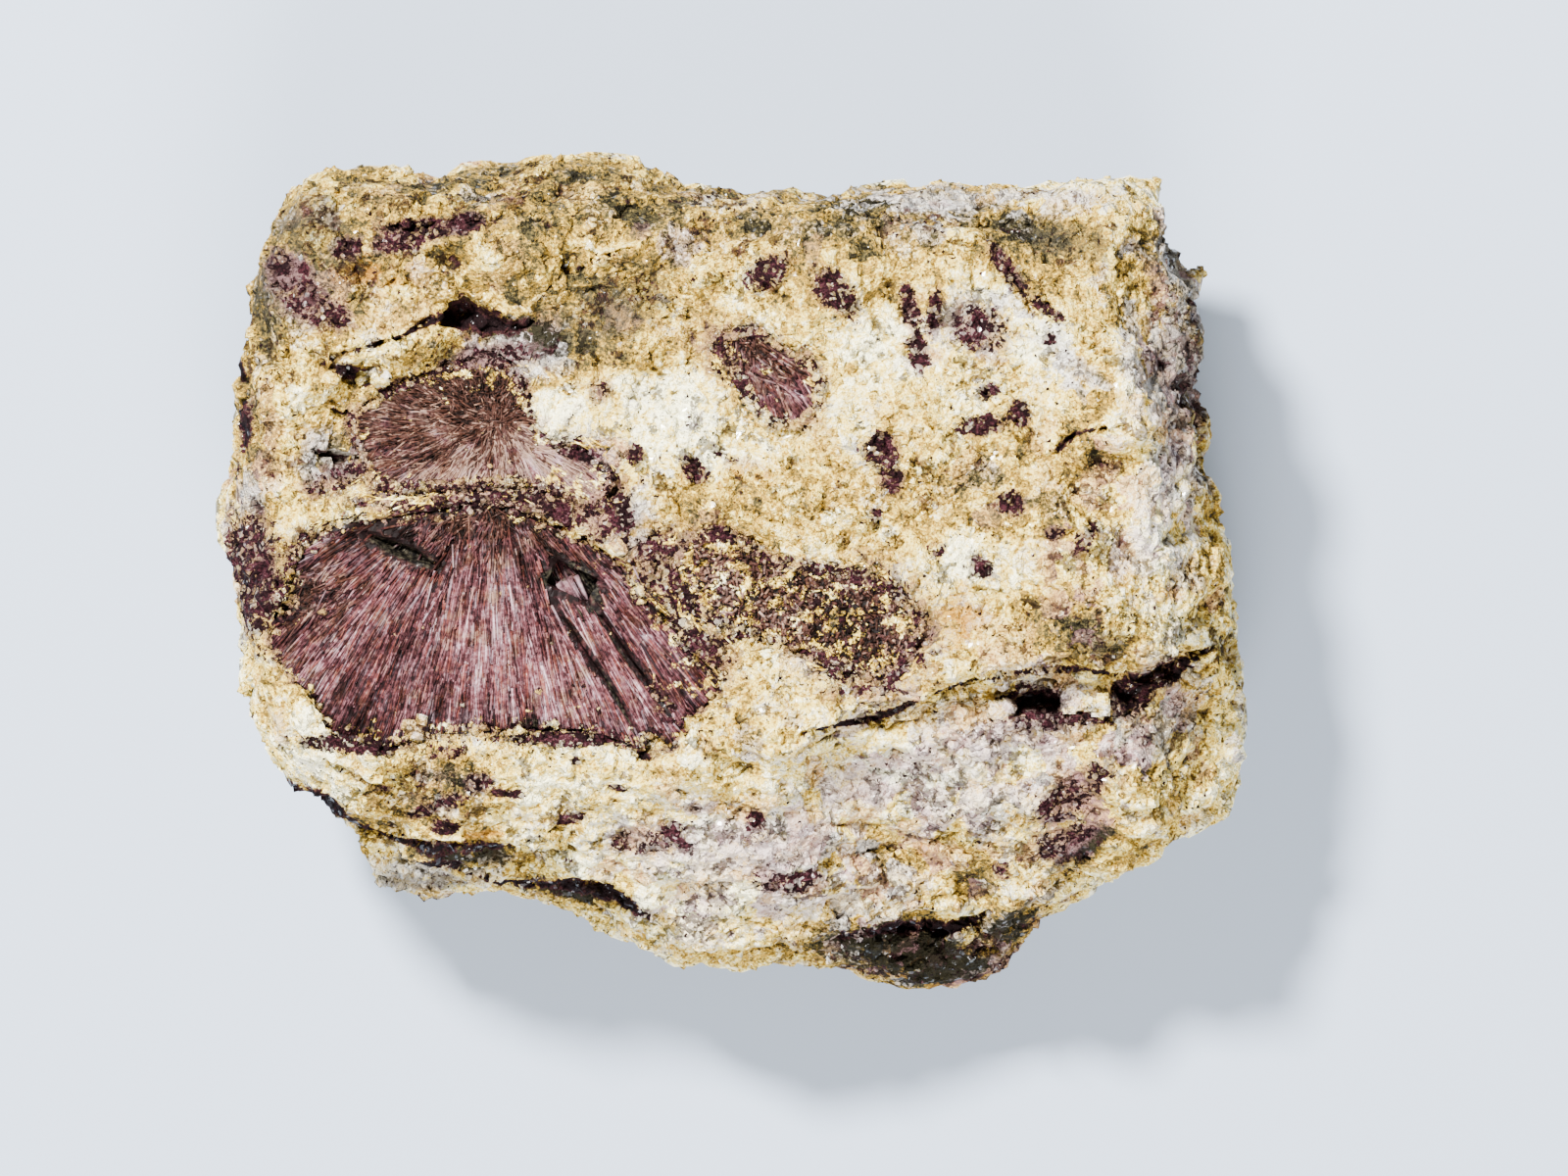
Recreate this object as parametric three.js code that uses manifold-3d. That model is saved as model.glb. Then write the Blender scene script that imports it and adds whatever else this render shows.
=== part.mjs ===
// A hand specimen of dumortierite: a broken block of quartz and feldspar rock, with radiating sprays of
// red-violet dumortierite needles set in its main face. Millimetres, +Z up. The block lies on a flat joint
// face whose middle is the origin, X runs along its length, and the face with the sprays looks up.

import * as THREE from "three";
import { ImprovedNoise } from "three/addons/math/ImprovedNoise.js";
import { mergeVertices } from "three/addons/utils/BufferGeometryUtils.js";
import Module from "manifold-3d";

const wasm = await Module();
wasm.setup();
const { degToRad, lerp, smoothstep } = THREE.MathUtils;

// Driving dimensions, in millimetres.
const HALF_LENGTH = 44.5; // along X
const HALF_WIDTH = 36; // along Y
const FACE_HEIGHT = 39; // the main face above the joint face
const CLEARANCE = 0.3; // between a spray and the pocket that it grew in

// How finely the block is faceted along X, Y and Z.
const GRID = { x: 34, y: 28, z: 8 };
const SMALLEST_EDGE = 0.09; // splinters of the cuts that are thinner than this are merged away

// The widest outline, seen from above, clockwise from the left of the upper edge.
const OUTLINE = [
  [-41.6, 25], [-40.5, 27.2], [-39.2, 30.7], [-37.3, 32.7], [-34, 33.9], [-31.9, 33.3], [-26.8, 33.5],
  [-26.3, 32.8], [-23, 34.3], [-18.8, 34], [-14, 35.7], [-11.6, 36], [-9.6, 35.4], [-6.7, 33.3],
  [-1.7, 32.1], [7.4, 31.8], [17.3, 32.3], [26.5, 32.6], [30.3, 33.4], [35, 33.4],
  [36.4, 31.8], [36.3, 27.5], [38.6, 24.7], [39.3, 18.8], [39.1, 15.2], [39.8, 13.4], [39.2, 9],
  [39.5, 3.4], [41.8, 1], [42.8, -3.6], [41.3, -6.3], [44.1, -9.8], [44.4, -12.3], [43.7, -18.1],
  [41.2, -21.4], [35.4, -22.7], [32.3, -25], [29.6, -28.6], [25.8, -30.7], [23.6, -34.2],
  [19.4, -35.2], [17, -35.8], [13, -34.4], [6.7, -32.9], [3.6, -32.9], [0.8, -33.8], [-3.5, -33.1],
  [-6.2, -31.2], [-10.5, -30.2], [-15.8, -28], [-21.4, -27.1], [-25.1, -27.5], [-30.5, -26.6],
  [-32.3, -24.5], [-31.8, -22.1], [-35.2, -20], [-39.8, -17],
  [-40.5, -13.3], [-41.6, -8.4], [-42.6, -4], [-43.1, -0.2], [-44.8, 4.2], [-43.9, 6.6], [-42.5, 8],
  [-42.8, 12.2], [-42.8, 17.8], [-40.2, 19.4], [-40.8, 22.3],
];

// The wall's plan size at its top and at its foot, against the outline, and the level where it is widest.
// Below that the wall loses the outline's small turns, which are averaged over some degrees to each side.
// Below the broad level it is all broad facets.
const WALL = { rim: 0.95, widestLevel: 0.62, broadLevel: 0.3, foot: 0.8 };
const AVERAGED_OVER = [-24, -12, 0, 12, 24]; // degrees to each side of a bearing

// The planes that the block broke along, each through a point and falling steepest towards a bearing, where
// 0 degrees is +X and 90 is +Y. The lowest of them is the surface, with the meeting edges rounded a little.
const BREAKS = [
  { name: "main face", through: [0, 0, FACE_HEIGHT], bearing: 200, fall: 0.02 },
  { name: "upper strip", through: [0, 28.5, 38], bearing: 88, fall: 1.3 },
  { name: "right flank", through: [33.5, 18, 37.5], bearing: 8, fall: 1.9 },
  { name: "lower slope", through: [0, -16.5, 37.5], bearing: 272, fall: 0.85 },
  { name: "lower right corner", through: [37, -15, 34], bearing: 325, fall: 1.3 },
  { name: "left wall", through: [-39.8, 0, 36], bearing: 180, fall: 2.6 },
  { name: "upper left corner", through: [-37.5, 28, 38], bearing: 135, fall: 1.6 },
  { name: "lower left corner", through: [-37, -15, 36], bearing: 243, fall: 1.4 },
];
const BREAK_ROUNDING = 2.2;

// Steps in the surface. The ground on the right of the line of travel lies lower by drop, and comes back up
// over about reach. A ledge fades out towards its ends, and an undercut eats that far in beneath its edge.
// Points of the surface nearer to a ledge than the grip are drawn onto its edge. The fade is the share of
// its length that each end takes to run out.
const LEDGE_GRIP = 1.25;
const LEDGE_FADE = 0.14;
const LEDGES = [
  {
    name: "upper slab",
    line: [[-50, 12], [-37.5, 14.6], [-33.8, 15.8], [-30.4, 17.8], [-25.8, 20], [-24.2, 21.8], [-18.3, 21.6],
      [-15.8, 23.8], [-10.8, 26.3], [-4.2, 29.2], [4, 32]],
    drop: 3,
    reach: 13,
    undercut: 1.1,
  },
  {
    name: "lower right ledge",
    line: [[1, -16], [6.7, -13], [10.8, -10.8], [17.5, -8.8], [24.2, -7.3], [29.2, -6.9], [34.2, -7.3],
      [40.8, -5.6], [52, -3]],
    drop: 6.2,
    reach: 20,
    undercut: 2.3,
  },
  {
    name: "right terrace",
    line: [[27, -8.5], [32.1, -4.6], [32.1, -0.4], [28.3, 2.9], [26.8, 7.1], [27.9, 10], [33.3, 12.1],
      [44, 15]],
    drop: 2.4,
    reach: 12,
    undercut: 0,
  },
  {
    name: "brow",
    line: [[33, 18], [30, 20.5], [27.3, 22.9], [25.3, 24.9], [21.3, 27.3], [14, 29.5]],
    drop: 1.8,
    reach: 9,
    undercut: 0.7,
  },
  {
    name: "lower left ledge",
    line: [[-46, -16], [-38.7, -17.9], [-32.8, -19.4], [-28.8, -22.6], [-25.5, -23.2], [-22.7, -22.9],
      [-19, -22.4], [-13, -23.5]],
    drop: 6.4,
    reach: 22,
    undercut: 1.9,
  },
  {
    name: "bottom lip",
    line: [[-28, -24.2], [-23.7, -24.6], [-20.7, -25.9], [-14.6, -25.8], [-10.6, -27], [-5, -30.2],
      [2, -35]],
    drop: 5,
    reach: 16,
    undercut: 1.7,
  },
  {
    name: "bottom right underside",
    line: [[2, -36], [6.6, -32.6], [8.8, -30.8], [15, -29.4], [18.8, -30], [21.7, -28.3], [27.5, -24.6],
      [31, -23]],
    drop: 7,
    reach: 24,
    undercut: 2,
  },
  {
    name: "lower band",
    line: [[5, -20.4], [12, -20.9], [18, -21.3], [25, -20.9], [31, -18]],
    drop: 1.2,
    reach: 8,
    undercut: 0,
  },
];

// Swells of the whole surface, the flat facets that it broke into, broad ones low on the wall, and grain.
const SWELL = { size: 17, height: 1.5, slice: 4.5 };
const FACET = { size: 7.5, height: 1.9, tilt: 1.2 };
const BROAD_FACET = { size: 19, height: 3.4, tilt: 1.3 };
const GRAIN = { size: 2.9, height: 0.7 };

// The underside waves this much about a level just under the joint plane, where it is cut flat: the high
// parts stay open hollows, and the low parts are the patches that it stands on. Near the foot of the wall
// the wave dies out.
const UNDERSIDE = { level: -0.35, wave: 3.2, size: 21, slice: 9.5, flatFrom: 0.75 };

// Hollows and clefts, cut as ragged long or round bodies: plan place, half length, half width, half depth,
// and the bearing of the long side.
const HOLLOW_RAGGED = { share: 0.55, lumps: 2.3 };
const HOLLOWS = [
  { name: "black hollow", at: [-21.9, 21.4], half: [3.1, 1.7, 4], bearing: -22 },
  { name: "hollow under the slab", at: [-31.3, 16.8], half: [2.4, 1.4, 3.4], bearing: 35 },
  { name: "slit in the slab", at: [-26.6, 29], half: [4.6, 0.9, 2.6], bearing: 6 },
  { name: "nook by the knob", at: [-13.8, 26.2], half: [2.6, 1, 2.4], bearing: 55 },
  { name: "purple recess", at: [25.6, -10.6], half: [4.4, 2, 3], bearing: -8 },
  { name: "cleft by the right edge", at: [36.6, -7.6], half: [4.2, 1.3, 3], bearing: 24 },
  { name: "bottom hole", at: [-12.6, -26.6], half: [3.2, 1.2, 4], bearing: -3 },
  { name: "mouth of the underside", at: [16.2, -29.8], half: [3.6, 1.3, 3.4], bearing: -6 },
];

// Sprays: their needles spread from an apex out to an outline, both seen from above. A spray lies sink lower
// than the rock beside it, is depth thick, and is faceted into spokes and rings.
const SPRAYS = [
  {
    name: "large_spray",
    apex: [-21, 4.5],
    outline: [
      [-25.8, 4.6], [-20.8, 5.6], [-17.1, 4.4], [-12.5, 2.6], [-10.2, 0.8], [-8.3, -2.1], [-5, -5.4],
      [-1, -9.6], [-3.5, -12.1], [-4.2, -14.2], [-6.8, -15.4], [-9.2, -14.3], [-12.5, -13.3],
      [-17.5, -13.1], [-22.5, -13.4], [-26.7, -13.9], [-29.6, -15], [-34.2, -13.3], [-35.4, -10.6],
      [-37.6, -8.6], [-39.2, -5.8], [-38.8, -4.2], [-37.2, -3.6], [-37.4, -1.3], [-36.8, 1.1],
      [-34.6, 3.3], [-30.8, 3.9],
    ],
    sink: 1.1,
    depth: 4.5,
    ridge: 0.6,
    spokes: 76,
    rings: 3,
    cuts: [
      { name: "square notch", at: [-13.8, -0.8], half: [2.3, 1.5, 1.7], bearing: -25, square: true },
      { name: "wedge by the apex", at: [-28.2, 1.9], half: [4.2, 0.9, 1.8], bearing: -22 },
      { name: "long groove", at: [-8.6, -7.6], half: [6.6, 0.55, 2], bearing: -55 },
      { name: "second groove", at: [-12, -7.6], half: [6.8, 0.5, 1.7], bearing: -56 },
      { name: "foot pit", at: [-6.9, -14.2], half: [1.1, 0.9, 2.2], bearing: -60 },
    ],
  },
  {
    name: "upper_spray",
    apex: [-20.4, 11.6],
    outline: [
      [-32.1, 13.3], [-29.2, 15.4], [-25, 17.1], [-20.8, 17.9], [-18.3, 16.7], [-17.2, 13.8],
      [-15.8, 10.8], [-11.7, 9.6], [-10.2, 7.3], [-12.4, 5.2], [-15.6, 6.7], [-18.8, 7.4],
      [-23.3, 7.2], [-28.3, 6.8], [-30.6, 7.3], [-31.5, 9.6], [-32.6, 11.7],
    ],
    sink: 0.5,
    depth: 3.4,
    ridge: 0.5,
    spokes: 44,
    rings: 3,
    cuts: [],
  },
  {
    name: "middle_cluster",
    apex: [7.4, -3.2],
    outline: [
      [-4.4, 2.9], [-0.6, 3.2], [3.3, 0.9], [9.2, 0.1], [13.7, -1.7], [16, -4.6], [13.7, -8.4],
      [10.8, -9.2], [7.9, -7.6], [3.3, -6], [-0.8, -4.8], [-3.4, -3.2], [-5.6, -0.4],
    ],
    sink: 0.4,
    depth: 3,
    ridge: 0.45,
    spokes: 36,
    rings: 3,
    cuts: [],
  },
  {
    name: "small_spray",
    apex: [1.2, 18],
    outline: [
      [-1, 20], [2.1, 20.2], [5, 18.6], [7.3, 16.7], [7.1, 13.8], [5.4, 12.1], [2.9, 12.1],
      [1.1, 14.6], [-0.2, 17.1], [-1.7, 19.2],
    ],
    sink: 0.4,
    depth: 2.6,
    ridge: 0.4,
    spokes: 24,
    rings: 2,
    cuts: [],
  },
];

const noise = new ImprovedNoise();

function random(cell, salt) {
  const wave = Math.sin(cell.x * 127.1 + cell.y * 311.7 + cell.z * 74.7 + salt * 53.3) * 43758.5453;
  return wave - Math.floor(wave);
}

// Height of the small flat facet that a point belongs to: each cell of space has a plane tilted its own way.
function facetHeight(point, size, tilt) {
  const scaled = point.clone().divideScalar(size);
  const home = scaled.clone().floor();
  let nearest = Infinity;
  let height = 0;
  for (const dx of [-1, 0, 1]) {
    for (const dy of [-1, 0, 1]) {
      for (const dz of [-1, 0, 1]) {
        const cell = new THREE.Vector3(home.x + dx, home.y + dy, home.z + dz);
        const centre = new THREE.Vector3(random(cell, 1), random(cell, 2), random(cell, 3)).add(cell);
        const away = scaled.clone().sub(centre);
        if (away.lengthSq() < nearest) {
          nearest = away.lengthSq();
          const lean = new THREE.Vector3(random(cell, 4), random(cell, 5), random(cell, 6)).subScalar(0.5);
          height = tilt * away.dot(lean) + random(cell, 7) - 0.5;
        }
      }
    }
  }
  return height;
}

// How far an outline reaches from a point inside it, along a bearing in radians.
function reachOf(outline, [fromX, fromY], bearing) {
  const way = new THREE.Vector2(Math.cos(bearing), Math.sin(bearing));
  let reach = 0;
  outline.forEach(([ax, ay], i) => {
    const [bx, by] = outline[(i + 1) % outline.length];
    const a = new THREE.Vector2(ax - fromX, ay - fromY);
    const side = new THREE.Vector2(bx - ax, by - ay);
    const across = way.cross(side);
    const along = a.cross(side) / across;
    const share = a.cross(way) / across;
    if (along > 0 && share >= 0 && share <= 1) reach = Math.max(reach, along);
  });
  return reach;
}

function softMin(a, b, rounding) {
  const mix = smoothstep(a - b, -rounding, rounding);
  const dip = Math.max(0, rounding - Math.abs(a - b)) / rounding;
  return lerp(a, b, mix) - (dip * dip * rounding) / 4;
}

// Where a point lies against a ledge: the nearest point of its edge, the signed distance to it, positive on
// the low side, and the share of the edge's length at that point.
function placeByLedge({ line }, x, y) {
  const point = new THREE.Vector2(x, y);
  const legs = line.length - 1;
  let nearest = { distance: Infinity };
  for (let i = 0; i < legs; i += 1) {
    const start = new THREE.Vector2(...line[i]);
    const leg = new THREE.Vector2(...line[i + 1]).sub(start);
    const to = point.clone().sub(start);
    const share = THREE.MathUtils.clamp(to.dot(leg) / leg.lengthSq(), 0, 1);
    const edge = start.clone().addScaledVector(leg, share);
    const distance = point.distanceTo(edge);
    if (distance < Math.abs(nearest.distance)) {
      nearest = { distance: distance * Math.sign(to.cross(leg)), edge, along: (i + share) / legs };
    }
  }
  return nearest;
}

// How much a ledge lowers the ground at a point: nothing on its high side.
function ledgeDrop(ledge, x, y) {
  const { distance, along } = placeByLedge(ledge, x, y);
  const fade = smoothstep(along, 0, LEDGE_FADE) * smoothstep(1 - along, 0, LEDGE_FADE);
  const below = smoothstep(distance, 0, LEDGE_GRIP);
  return ledge.drop * fade * below * Math.exp(-Math.abs(distance) / ledge.reach);
}

// The broad shape of the upper surface, which the rock and its sprays share.
function surfaceHeight(x, y) {
  let height = Infinity;
  for (const { through, bearing, fall } of BREAKS) {
    const turn = degToRad(bearing);
    const run = (x - through[0]) * Math.cos(turn) + (y - through[1]) * Math.sin(turn);
    const plane = through[2] - fall * run;
    height = Number.isFinite(height) ? softMin(height, plane, BREAK_ROUNDING) : plane;
  }
  for (const ledge of LEDGES) height -= ledgeDrop(ledge, x, y);
  return height + SWELL.height * noise.noise(x / SWELL.size, y / SWELL.size, SWELL.slice);
}

// Takes a point of the square from -1 to 1 to the plan of the block: its border becomes the outline.
function planOf(x, y) {
  const ring = Math.max(Math.abs(x), Math.abs(y));
  if (ring === 0) return new THREE.Vector2();
  const border = new THREE.Vector2((x / ring) * HALF_LENGTH, (y / ring) * HALF_WIDTH);
  const reach = reachOf(OUTLINE, [0, 0], border.angle());
  return border.setLength(ring * lerp(border.length(), reach, ring ** 2));
}

// Takes the plan of a point of the block's border to the wall at a level from 0 at the foot to 1 at the rim.
function wallPlan(plan, level) {
  const { rim, widestLevel, foot } = WALL;
  if (level > widestLevel) {
    return plan.multiplyScalar(lerp(1, rim, ((level - widestLevel) / (1 - widestLevel)) ** 2));
  }
  const down = 1 - level / widestLevel;
  const reaches = AVERAGED_OVER.map((turn) => reachOf(OUTLINE, [0, 0], plan.angle() + degToRad(turn)));
  const average = reaches.reduce((sum, reach) => sum + reach) / reaches.length;
  const reach = lerp(plan.length(), average, smoothstep(down, 0, 0.6));
  return plan.setLength(reach * lerp(1, foot, down ** 2));
}

// Draws a point of the upper surface onto the edge of a ledge that runs close by.
function drawnToLedge(plan) {
  for (const ledge of LEDGES) {
    const { distance, edge, along } = placeByLedge(ledge, plan.x, plan.y);
    const isOnLedge = Math.min(along, 1 - along) > LEDGE_FADE / 3;
    if (isOnLedge && Math.abs(distance) < LEDGE_GRIP) return edge;
  }
  return plan;
}

// Moves every vertex of a geometry through a function from point to point.
function reshape(geometry, place) {
  const positions = geometry.getAttribute("position");
  const point = new THREE.Vector3();
  for (let i = 0; i < positions.count; i += 1) {
    positions.setXYZ(i, ...place(point.fromBufferAttribute(positions, i)).toArray());
  }
  return geometry;
}

function solidOf(geometry) {
  const bare = new THREE.BufferGeometry();
  bare.setAttribute("position", geometry.getAttribute("position"));
  bare.setIndex(geometry.index);
  const merged = mergeVertices(bare, 1e-4);
  const vertProperties = merged.getAttribute("position").array;
  const triVerts = new Uint32Array(merged.index.array);
  return new wasm.Manifold(new wasm.Mesh({ numProp: 3, vertProperties, triVerts }));
}

// The stone without the splinters that its cuts set free.
function withoutSplinters(solid) {
  const pieces = solid.simplify(SMALLEST_EDGE).decompose();
  return pieces.reduce((best, piece) => (piece.volume() > best.volume() ? piece : best));
}

function geometryOf(solid) {
  const { vertProperties, triVerts } = solid.getMesh();
  const geometry = new THREE.BufferGeometry();
  geometry.setAttribute("position", new THREE.BufferAttribute(vertProperties, 3));
  geometry.setIndex(new THREE.BufferAttribute(triVerts, 1));
  geometry.computeVertexNormals();
  return geometry;
}

// Breaks a smooth surface point up: facets and grain push it out from or into the block, away from a flat
// core inside it. Broad facets come in by their share.
const CORE_SHARE = 0.7;
function roughened(point, broadShare) {
  const core = new THREE.Vector3(point.x * CORE_SHARE, point.y * CORE_SHARE, FACE_HEIGHT / 2);
  const outward = point.clone().sub(core).normalize();
  const grain = noise.noise(point.x / GRAIN.size, point.y / GRAIN.size, point.z / GRAIN.size);
  const fine = FACET.height * facetHeight(point, FACET.size, FACET.tilt) + GRAIN.height * grain;
  const broad = BROAD_FACET.height * facetHeight(point, BROAD_FACET.size, BROAD_FACET.tilt);
  return point.clone().addScaledVector(outward, fine + broadShare * (broad - BROAD_FACET.height / 2));
}

function blockPoint({ x, y, z }) {
  const plan = planOf(x, y);
  if (z >= 1) {
    const top = drawnToLedge(plan.multiplyScalar(WALL.rim));
    return roughened(new THREE.Vector3(top.x, top.y, surfaceHeight(top.x, top.y)), 0);
  }
  if (z <= -1) {
    const ring = Math.max(Math.abs(x), Math.abs(y));
    if (ring === 0) return new THREE.Vector3(0, 0, UNDERSIDE.level);
    const border = wallPlan(planOf(x / ring, y / ring), 0);
    const base = roughened(new THREE.Vector3(border.x, border.y, UNDERSIDE.level), 1).multiplyScalar(ring);
    const wave = noise.noise(base.x / UNDERSIDE.size + 5, base.y / UNDERSIDE.size + 2, UNDERSIDE.slice);
    const inner = 1 - smoothstep(ring, UNDERSIDE.flatFrom, 1);
    return base.setZ(UNDERSIDE.level + UNDERSIDE.wave * wave * inner);
  }
  const level = (z + 1) / 2;
  const rimHeight = surfaceHeight(plan.x * WALL.rim, plan.y * WALL.rim);
  const wall = wallPlan(plan, level);
  const place = new THREE.Vector3(wall.x, wall.y, lerp(UNDERSIDE.level, rimHeight, level));
  return roughened(place, 1 - smoothstep(level, WALL.broadLevel, WALL.widestLevel));
}

// A ragged ellipsoid, or a block where the hollow is square, that cuts a hollow or cleft from above.
function hollowCutter({ at: [x, y], half, bearing, square }, surface) {
  let cutter = new THREE.BoxGeometry(2, 2, 2);
  if (!square) {
    cutter = reshape(new THREE.IcosahedronGeometry(1, 1), (point) => {
      const { share, lumps } = HOLLOW_RAGGED;
      const ragged = noise.noise(lumps * point.x + x, lumps * point.y + y, lumps * point.z);
      return point.clone().multiplyScalar(1 + share * ragged);
    });
  }
  cutter.scale(...half);
  cutter.rotateZ(degToRad(bearing));
  cutter.translate(x, y, surface);
  return solidOf(cutter);
}

// A tapering, flattened bar laid along the foot of a ledge, which cuts in beneath its edge.
const BAR = { tip: 0.2, flatness: 0.7 };
function undercutter({ line, undercut }) {
  const foot = line.slice(1, -1).map(([x, y], i) => {
    const way = new THREE.Vector2(...line[i + 2]).sub(new THREE.Vector2(...line[i])).normalize();
    const below = surfaceHeight(x + way.y * LEDGE_GRIP, y - way.x * LEDGE_GRIP);
    return new THREE.Vector3(x, y, below + undercut / 2);
  });
  const path = new THREE.CatmullRomCurve3(foot);
  const bar = new THREE.CylinderGeometry(1, 1, 2, 5, 2 * foot.length);
  return solidOf(reshape(bar, (point) => {
    const along = (point.y + 1) / 2;
    const way = path.getTangentAt(along);
    const size = undercut * Math.max(BAR.tip, Math.sin(Math.PI * along) ** 0.5);
    const place = path.getPointAt(along);
    place.x += size * point.x * way.y;
    place.y -= size * point.x * way.x;
    place.z += BAR.flatness * size * point.z;
    return place;
  }));
}

// The points of a spray's edge, counterclockwise, one for each spoke, moved outwards by a distance.
function sprayEdge({ outline, spokes }, outwards) {
  const path = new THREE.Path(outline.map(([x, y]) => new THREE.Vector2(x, y)));
  path.closePath();
  const points = path.getSpacedPoints(spokes).slice(0, spokes).reverse();
  return points.map((point, i) => {
    const next = points[(i + 1) % spokes];
    const last = points[(i + spokes - 1) % spokes];
    const way = next.clone().sub(last).normalize();
    return new THREE.Vector2(point.x + way.y * outwards, point.y - way.x * outwards);
  });
}

// A closed lens of needles: every spoke runs from the apex to a point of the edge, over the top and beneath.
// A pocket is the same lens, grown by the clearance and open at the top.
function sprayBody(spray, pocket) {
  const { apex, spokes, rings, sink, depth, ridge } = spray;
  const edge = sprayEdge(spray, pocket ? CLEARANCE : 0);
  const sphere = new THREE.SphereGeometry(1, spokes, 2 * rings);
  sphere.rotateX(Math.PI / 2);
  return solidOf(reshape(sphere, (unit) => {
    const fromPole = 1 - Math.abs(Math.asin(THREE.MathUtils.clamp(unit.z, -1, 1))) / (Math.PI / 2);
    const turn = Math.atan2(unit.y, unit.x) / (2 * Math.PI);
    const spoke = (Math.round(turn * spokes) + spokes) % spokes;
    const upper = unit.z > 1e-6;
    const share = pocket && upper ? Math.min(1, fromPole * rings) : fromPole;
    const x = lerp(apex[0], edge[spoke].x, share);
    const y = lerp(apex[1], edge[spoke].y, share);
    const level = surfaceHeight(x, y) - sink;
    if (pocket && upper) return new THREE.Vector3(x, y, level + FACE_HEIGHT / 2);
    const crest = ridge * share * (2 * random({ x: spoke, y: 0, z: 0 }, spokes) - 1);
    if (upper) return new THREE.Vector3(x, y, level + crest);
    const thickness = depth * Math.sqrt(Math.max(0, 1 - share ** 4)) + (pocket ? 2 * CLEARANCE : 0);
    return new THREE.Vector3(x, y, level - thickness);
  }));
}

function makeSpray(spray) {
  let body = sprayBody(spray, false);
  for (const cut of spray.cuts) {
    body = body.subtract(hollowCutter(cut, surfaceHeight(...cut.at) - spray.sink));
  }
  return withoutSplinters(body);
}

function makeMatrix() {
  let block = solidOf(reshape(new THREE.BoxGeometry(2, 2, 2, GRID.x, GRID.y, GRID.z), blockPoint));
  for (const hollow of HOLLOWS) block = block.subtract(hollowCutter(hollow, surfaceHeight(...hollow.at)));
  for (const ledge of LEDGES) {
    if (ledge.undercut > 0) block = block.subtract(undercutter(ledge));
  }
  for (const spray of SPRAYS) block = block.subtract(sprayBody(spray, true));
  const waste = new THREE.BoxGeometry(4 * HALF_LENGTH, 4 * HALF_WIDTH, FACE_HEIGHT);
  waste.translate(0, 0, -FACE_HEIGHT / 2);
  return withoutSplinters(block.subtract(solidOf(waste)));
}

const rock = new THREE.MeshStandardMaterial({ color: 0xcdbb94, roughness: 0.72, metalness: 0 });
const needles = new THREE.MeshStandardMaterial({ color: 0x7d4f55, roughness: 0.5, metalness: 0 });

function named(name, solid, material) {
  const mesh = new THREE.Mesh(geometryOf(solid), material);
  mesh.name = name;
  return mesh;
}

const specimen = new THREE.Group();
specimen.add(named("matrix", makeMatrix(), rock));
for (const spray of SPRAYS) specimen.add(named(spray.name, makeSpray(spray), needles));

export default specimen;
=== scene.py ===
# %% [markdown]
# # A hand specimen of dumortierite
#
# The stone is a broken block of quartz and feldspar. Red-violet dumortierite grew in it as flat sprays of
# needles, and as small plum patches between the grains. It lies on its flat joint face, and the face with the
# sprays looks up at the camera.
#
# The CAD model gives the block, its ledges and hollows, and a plain lens for each spray. This script puts the
# look on it: the sugary grain of the broken rock, its colours, and the needles.

import math
import random

import bmesh
import bpy
import numpy as np
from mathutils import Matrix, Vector, noise
from mathutils.bvhtree import BVHTree


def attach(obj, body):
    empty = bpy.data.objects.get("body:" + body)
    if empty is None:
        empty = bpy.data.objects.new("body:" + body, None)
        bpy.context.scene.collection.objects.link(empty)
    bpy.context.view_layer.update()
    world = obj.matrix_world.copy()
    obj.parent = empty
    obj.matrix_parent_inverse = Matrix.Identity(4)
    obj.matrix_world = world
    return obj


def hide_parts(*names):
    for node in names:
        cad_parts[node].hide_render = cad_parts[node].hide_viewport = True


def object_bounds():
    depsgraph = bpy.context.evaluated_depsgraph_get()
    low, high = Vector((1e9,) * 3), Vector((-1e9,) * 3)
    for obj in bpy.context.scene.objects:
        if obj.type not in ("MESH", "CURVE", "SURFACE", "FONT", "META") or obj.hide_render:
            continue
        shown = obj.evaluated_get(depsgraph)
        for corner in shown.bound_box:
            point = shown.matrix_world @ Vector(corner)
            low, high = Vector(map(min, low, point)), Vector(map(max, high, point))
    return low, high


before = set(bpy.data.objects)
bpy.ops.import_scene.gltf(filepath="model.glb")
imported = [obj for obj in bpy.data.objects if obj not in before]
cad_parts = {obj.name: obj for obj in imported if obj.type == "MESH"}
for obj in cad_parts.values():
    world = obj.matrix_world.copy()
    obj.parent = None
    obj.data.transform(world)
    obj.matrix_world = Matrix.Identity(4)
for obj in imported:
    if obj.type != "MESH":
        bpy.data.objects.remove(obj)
cad_low, cad_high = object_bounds()
MM = 0.001
print("block", [round(side / MM, 1) for side in cad_high - cad_low], "mm")

# %% [markdown]
# ## The solid under each look
#
# Each visual piece starts from the CAD solid that it stands for, so that it keeps its size, place and broken
# faces. A voxel remesh turns the large flat triangles into even small faces, which can then carry grain. It
# could also be sculpted by hand, but a remesh in code gives the same stone every time.


# %% Even meshes from the CAD solids
def cad_copy(node):
    """The CAD solid as one closed bmesh, with the seams of its file merged."""
    solid = bmesh.new()
    solid.from_mesh(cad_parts[node].data)
    bmesh.ops.remove_doubles(solid, verts=solid.verts, dist=1e-6)
    return solid


def new_piece(name, solid):
    """A shown object from a bmesh."""
    mesh = bpy.data.meshes.new(name)
    solid.to_mesh(mesh)
    solid.free()
    piece = bpy.data.objects.new(name, mesh)
    bpy.context.collection.objects.link(piece)
    return piece


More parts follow.
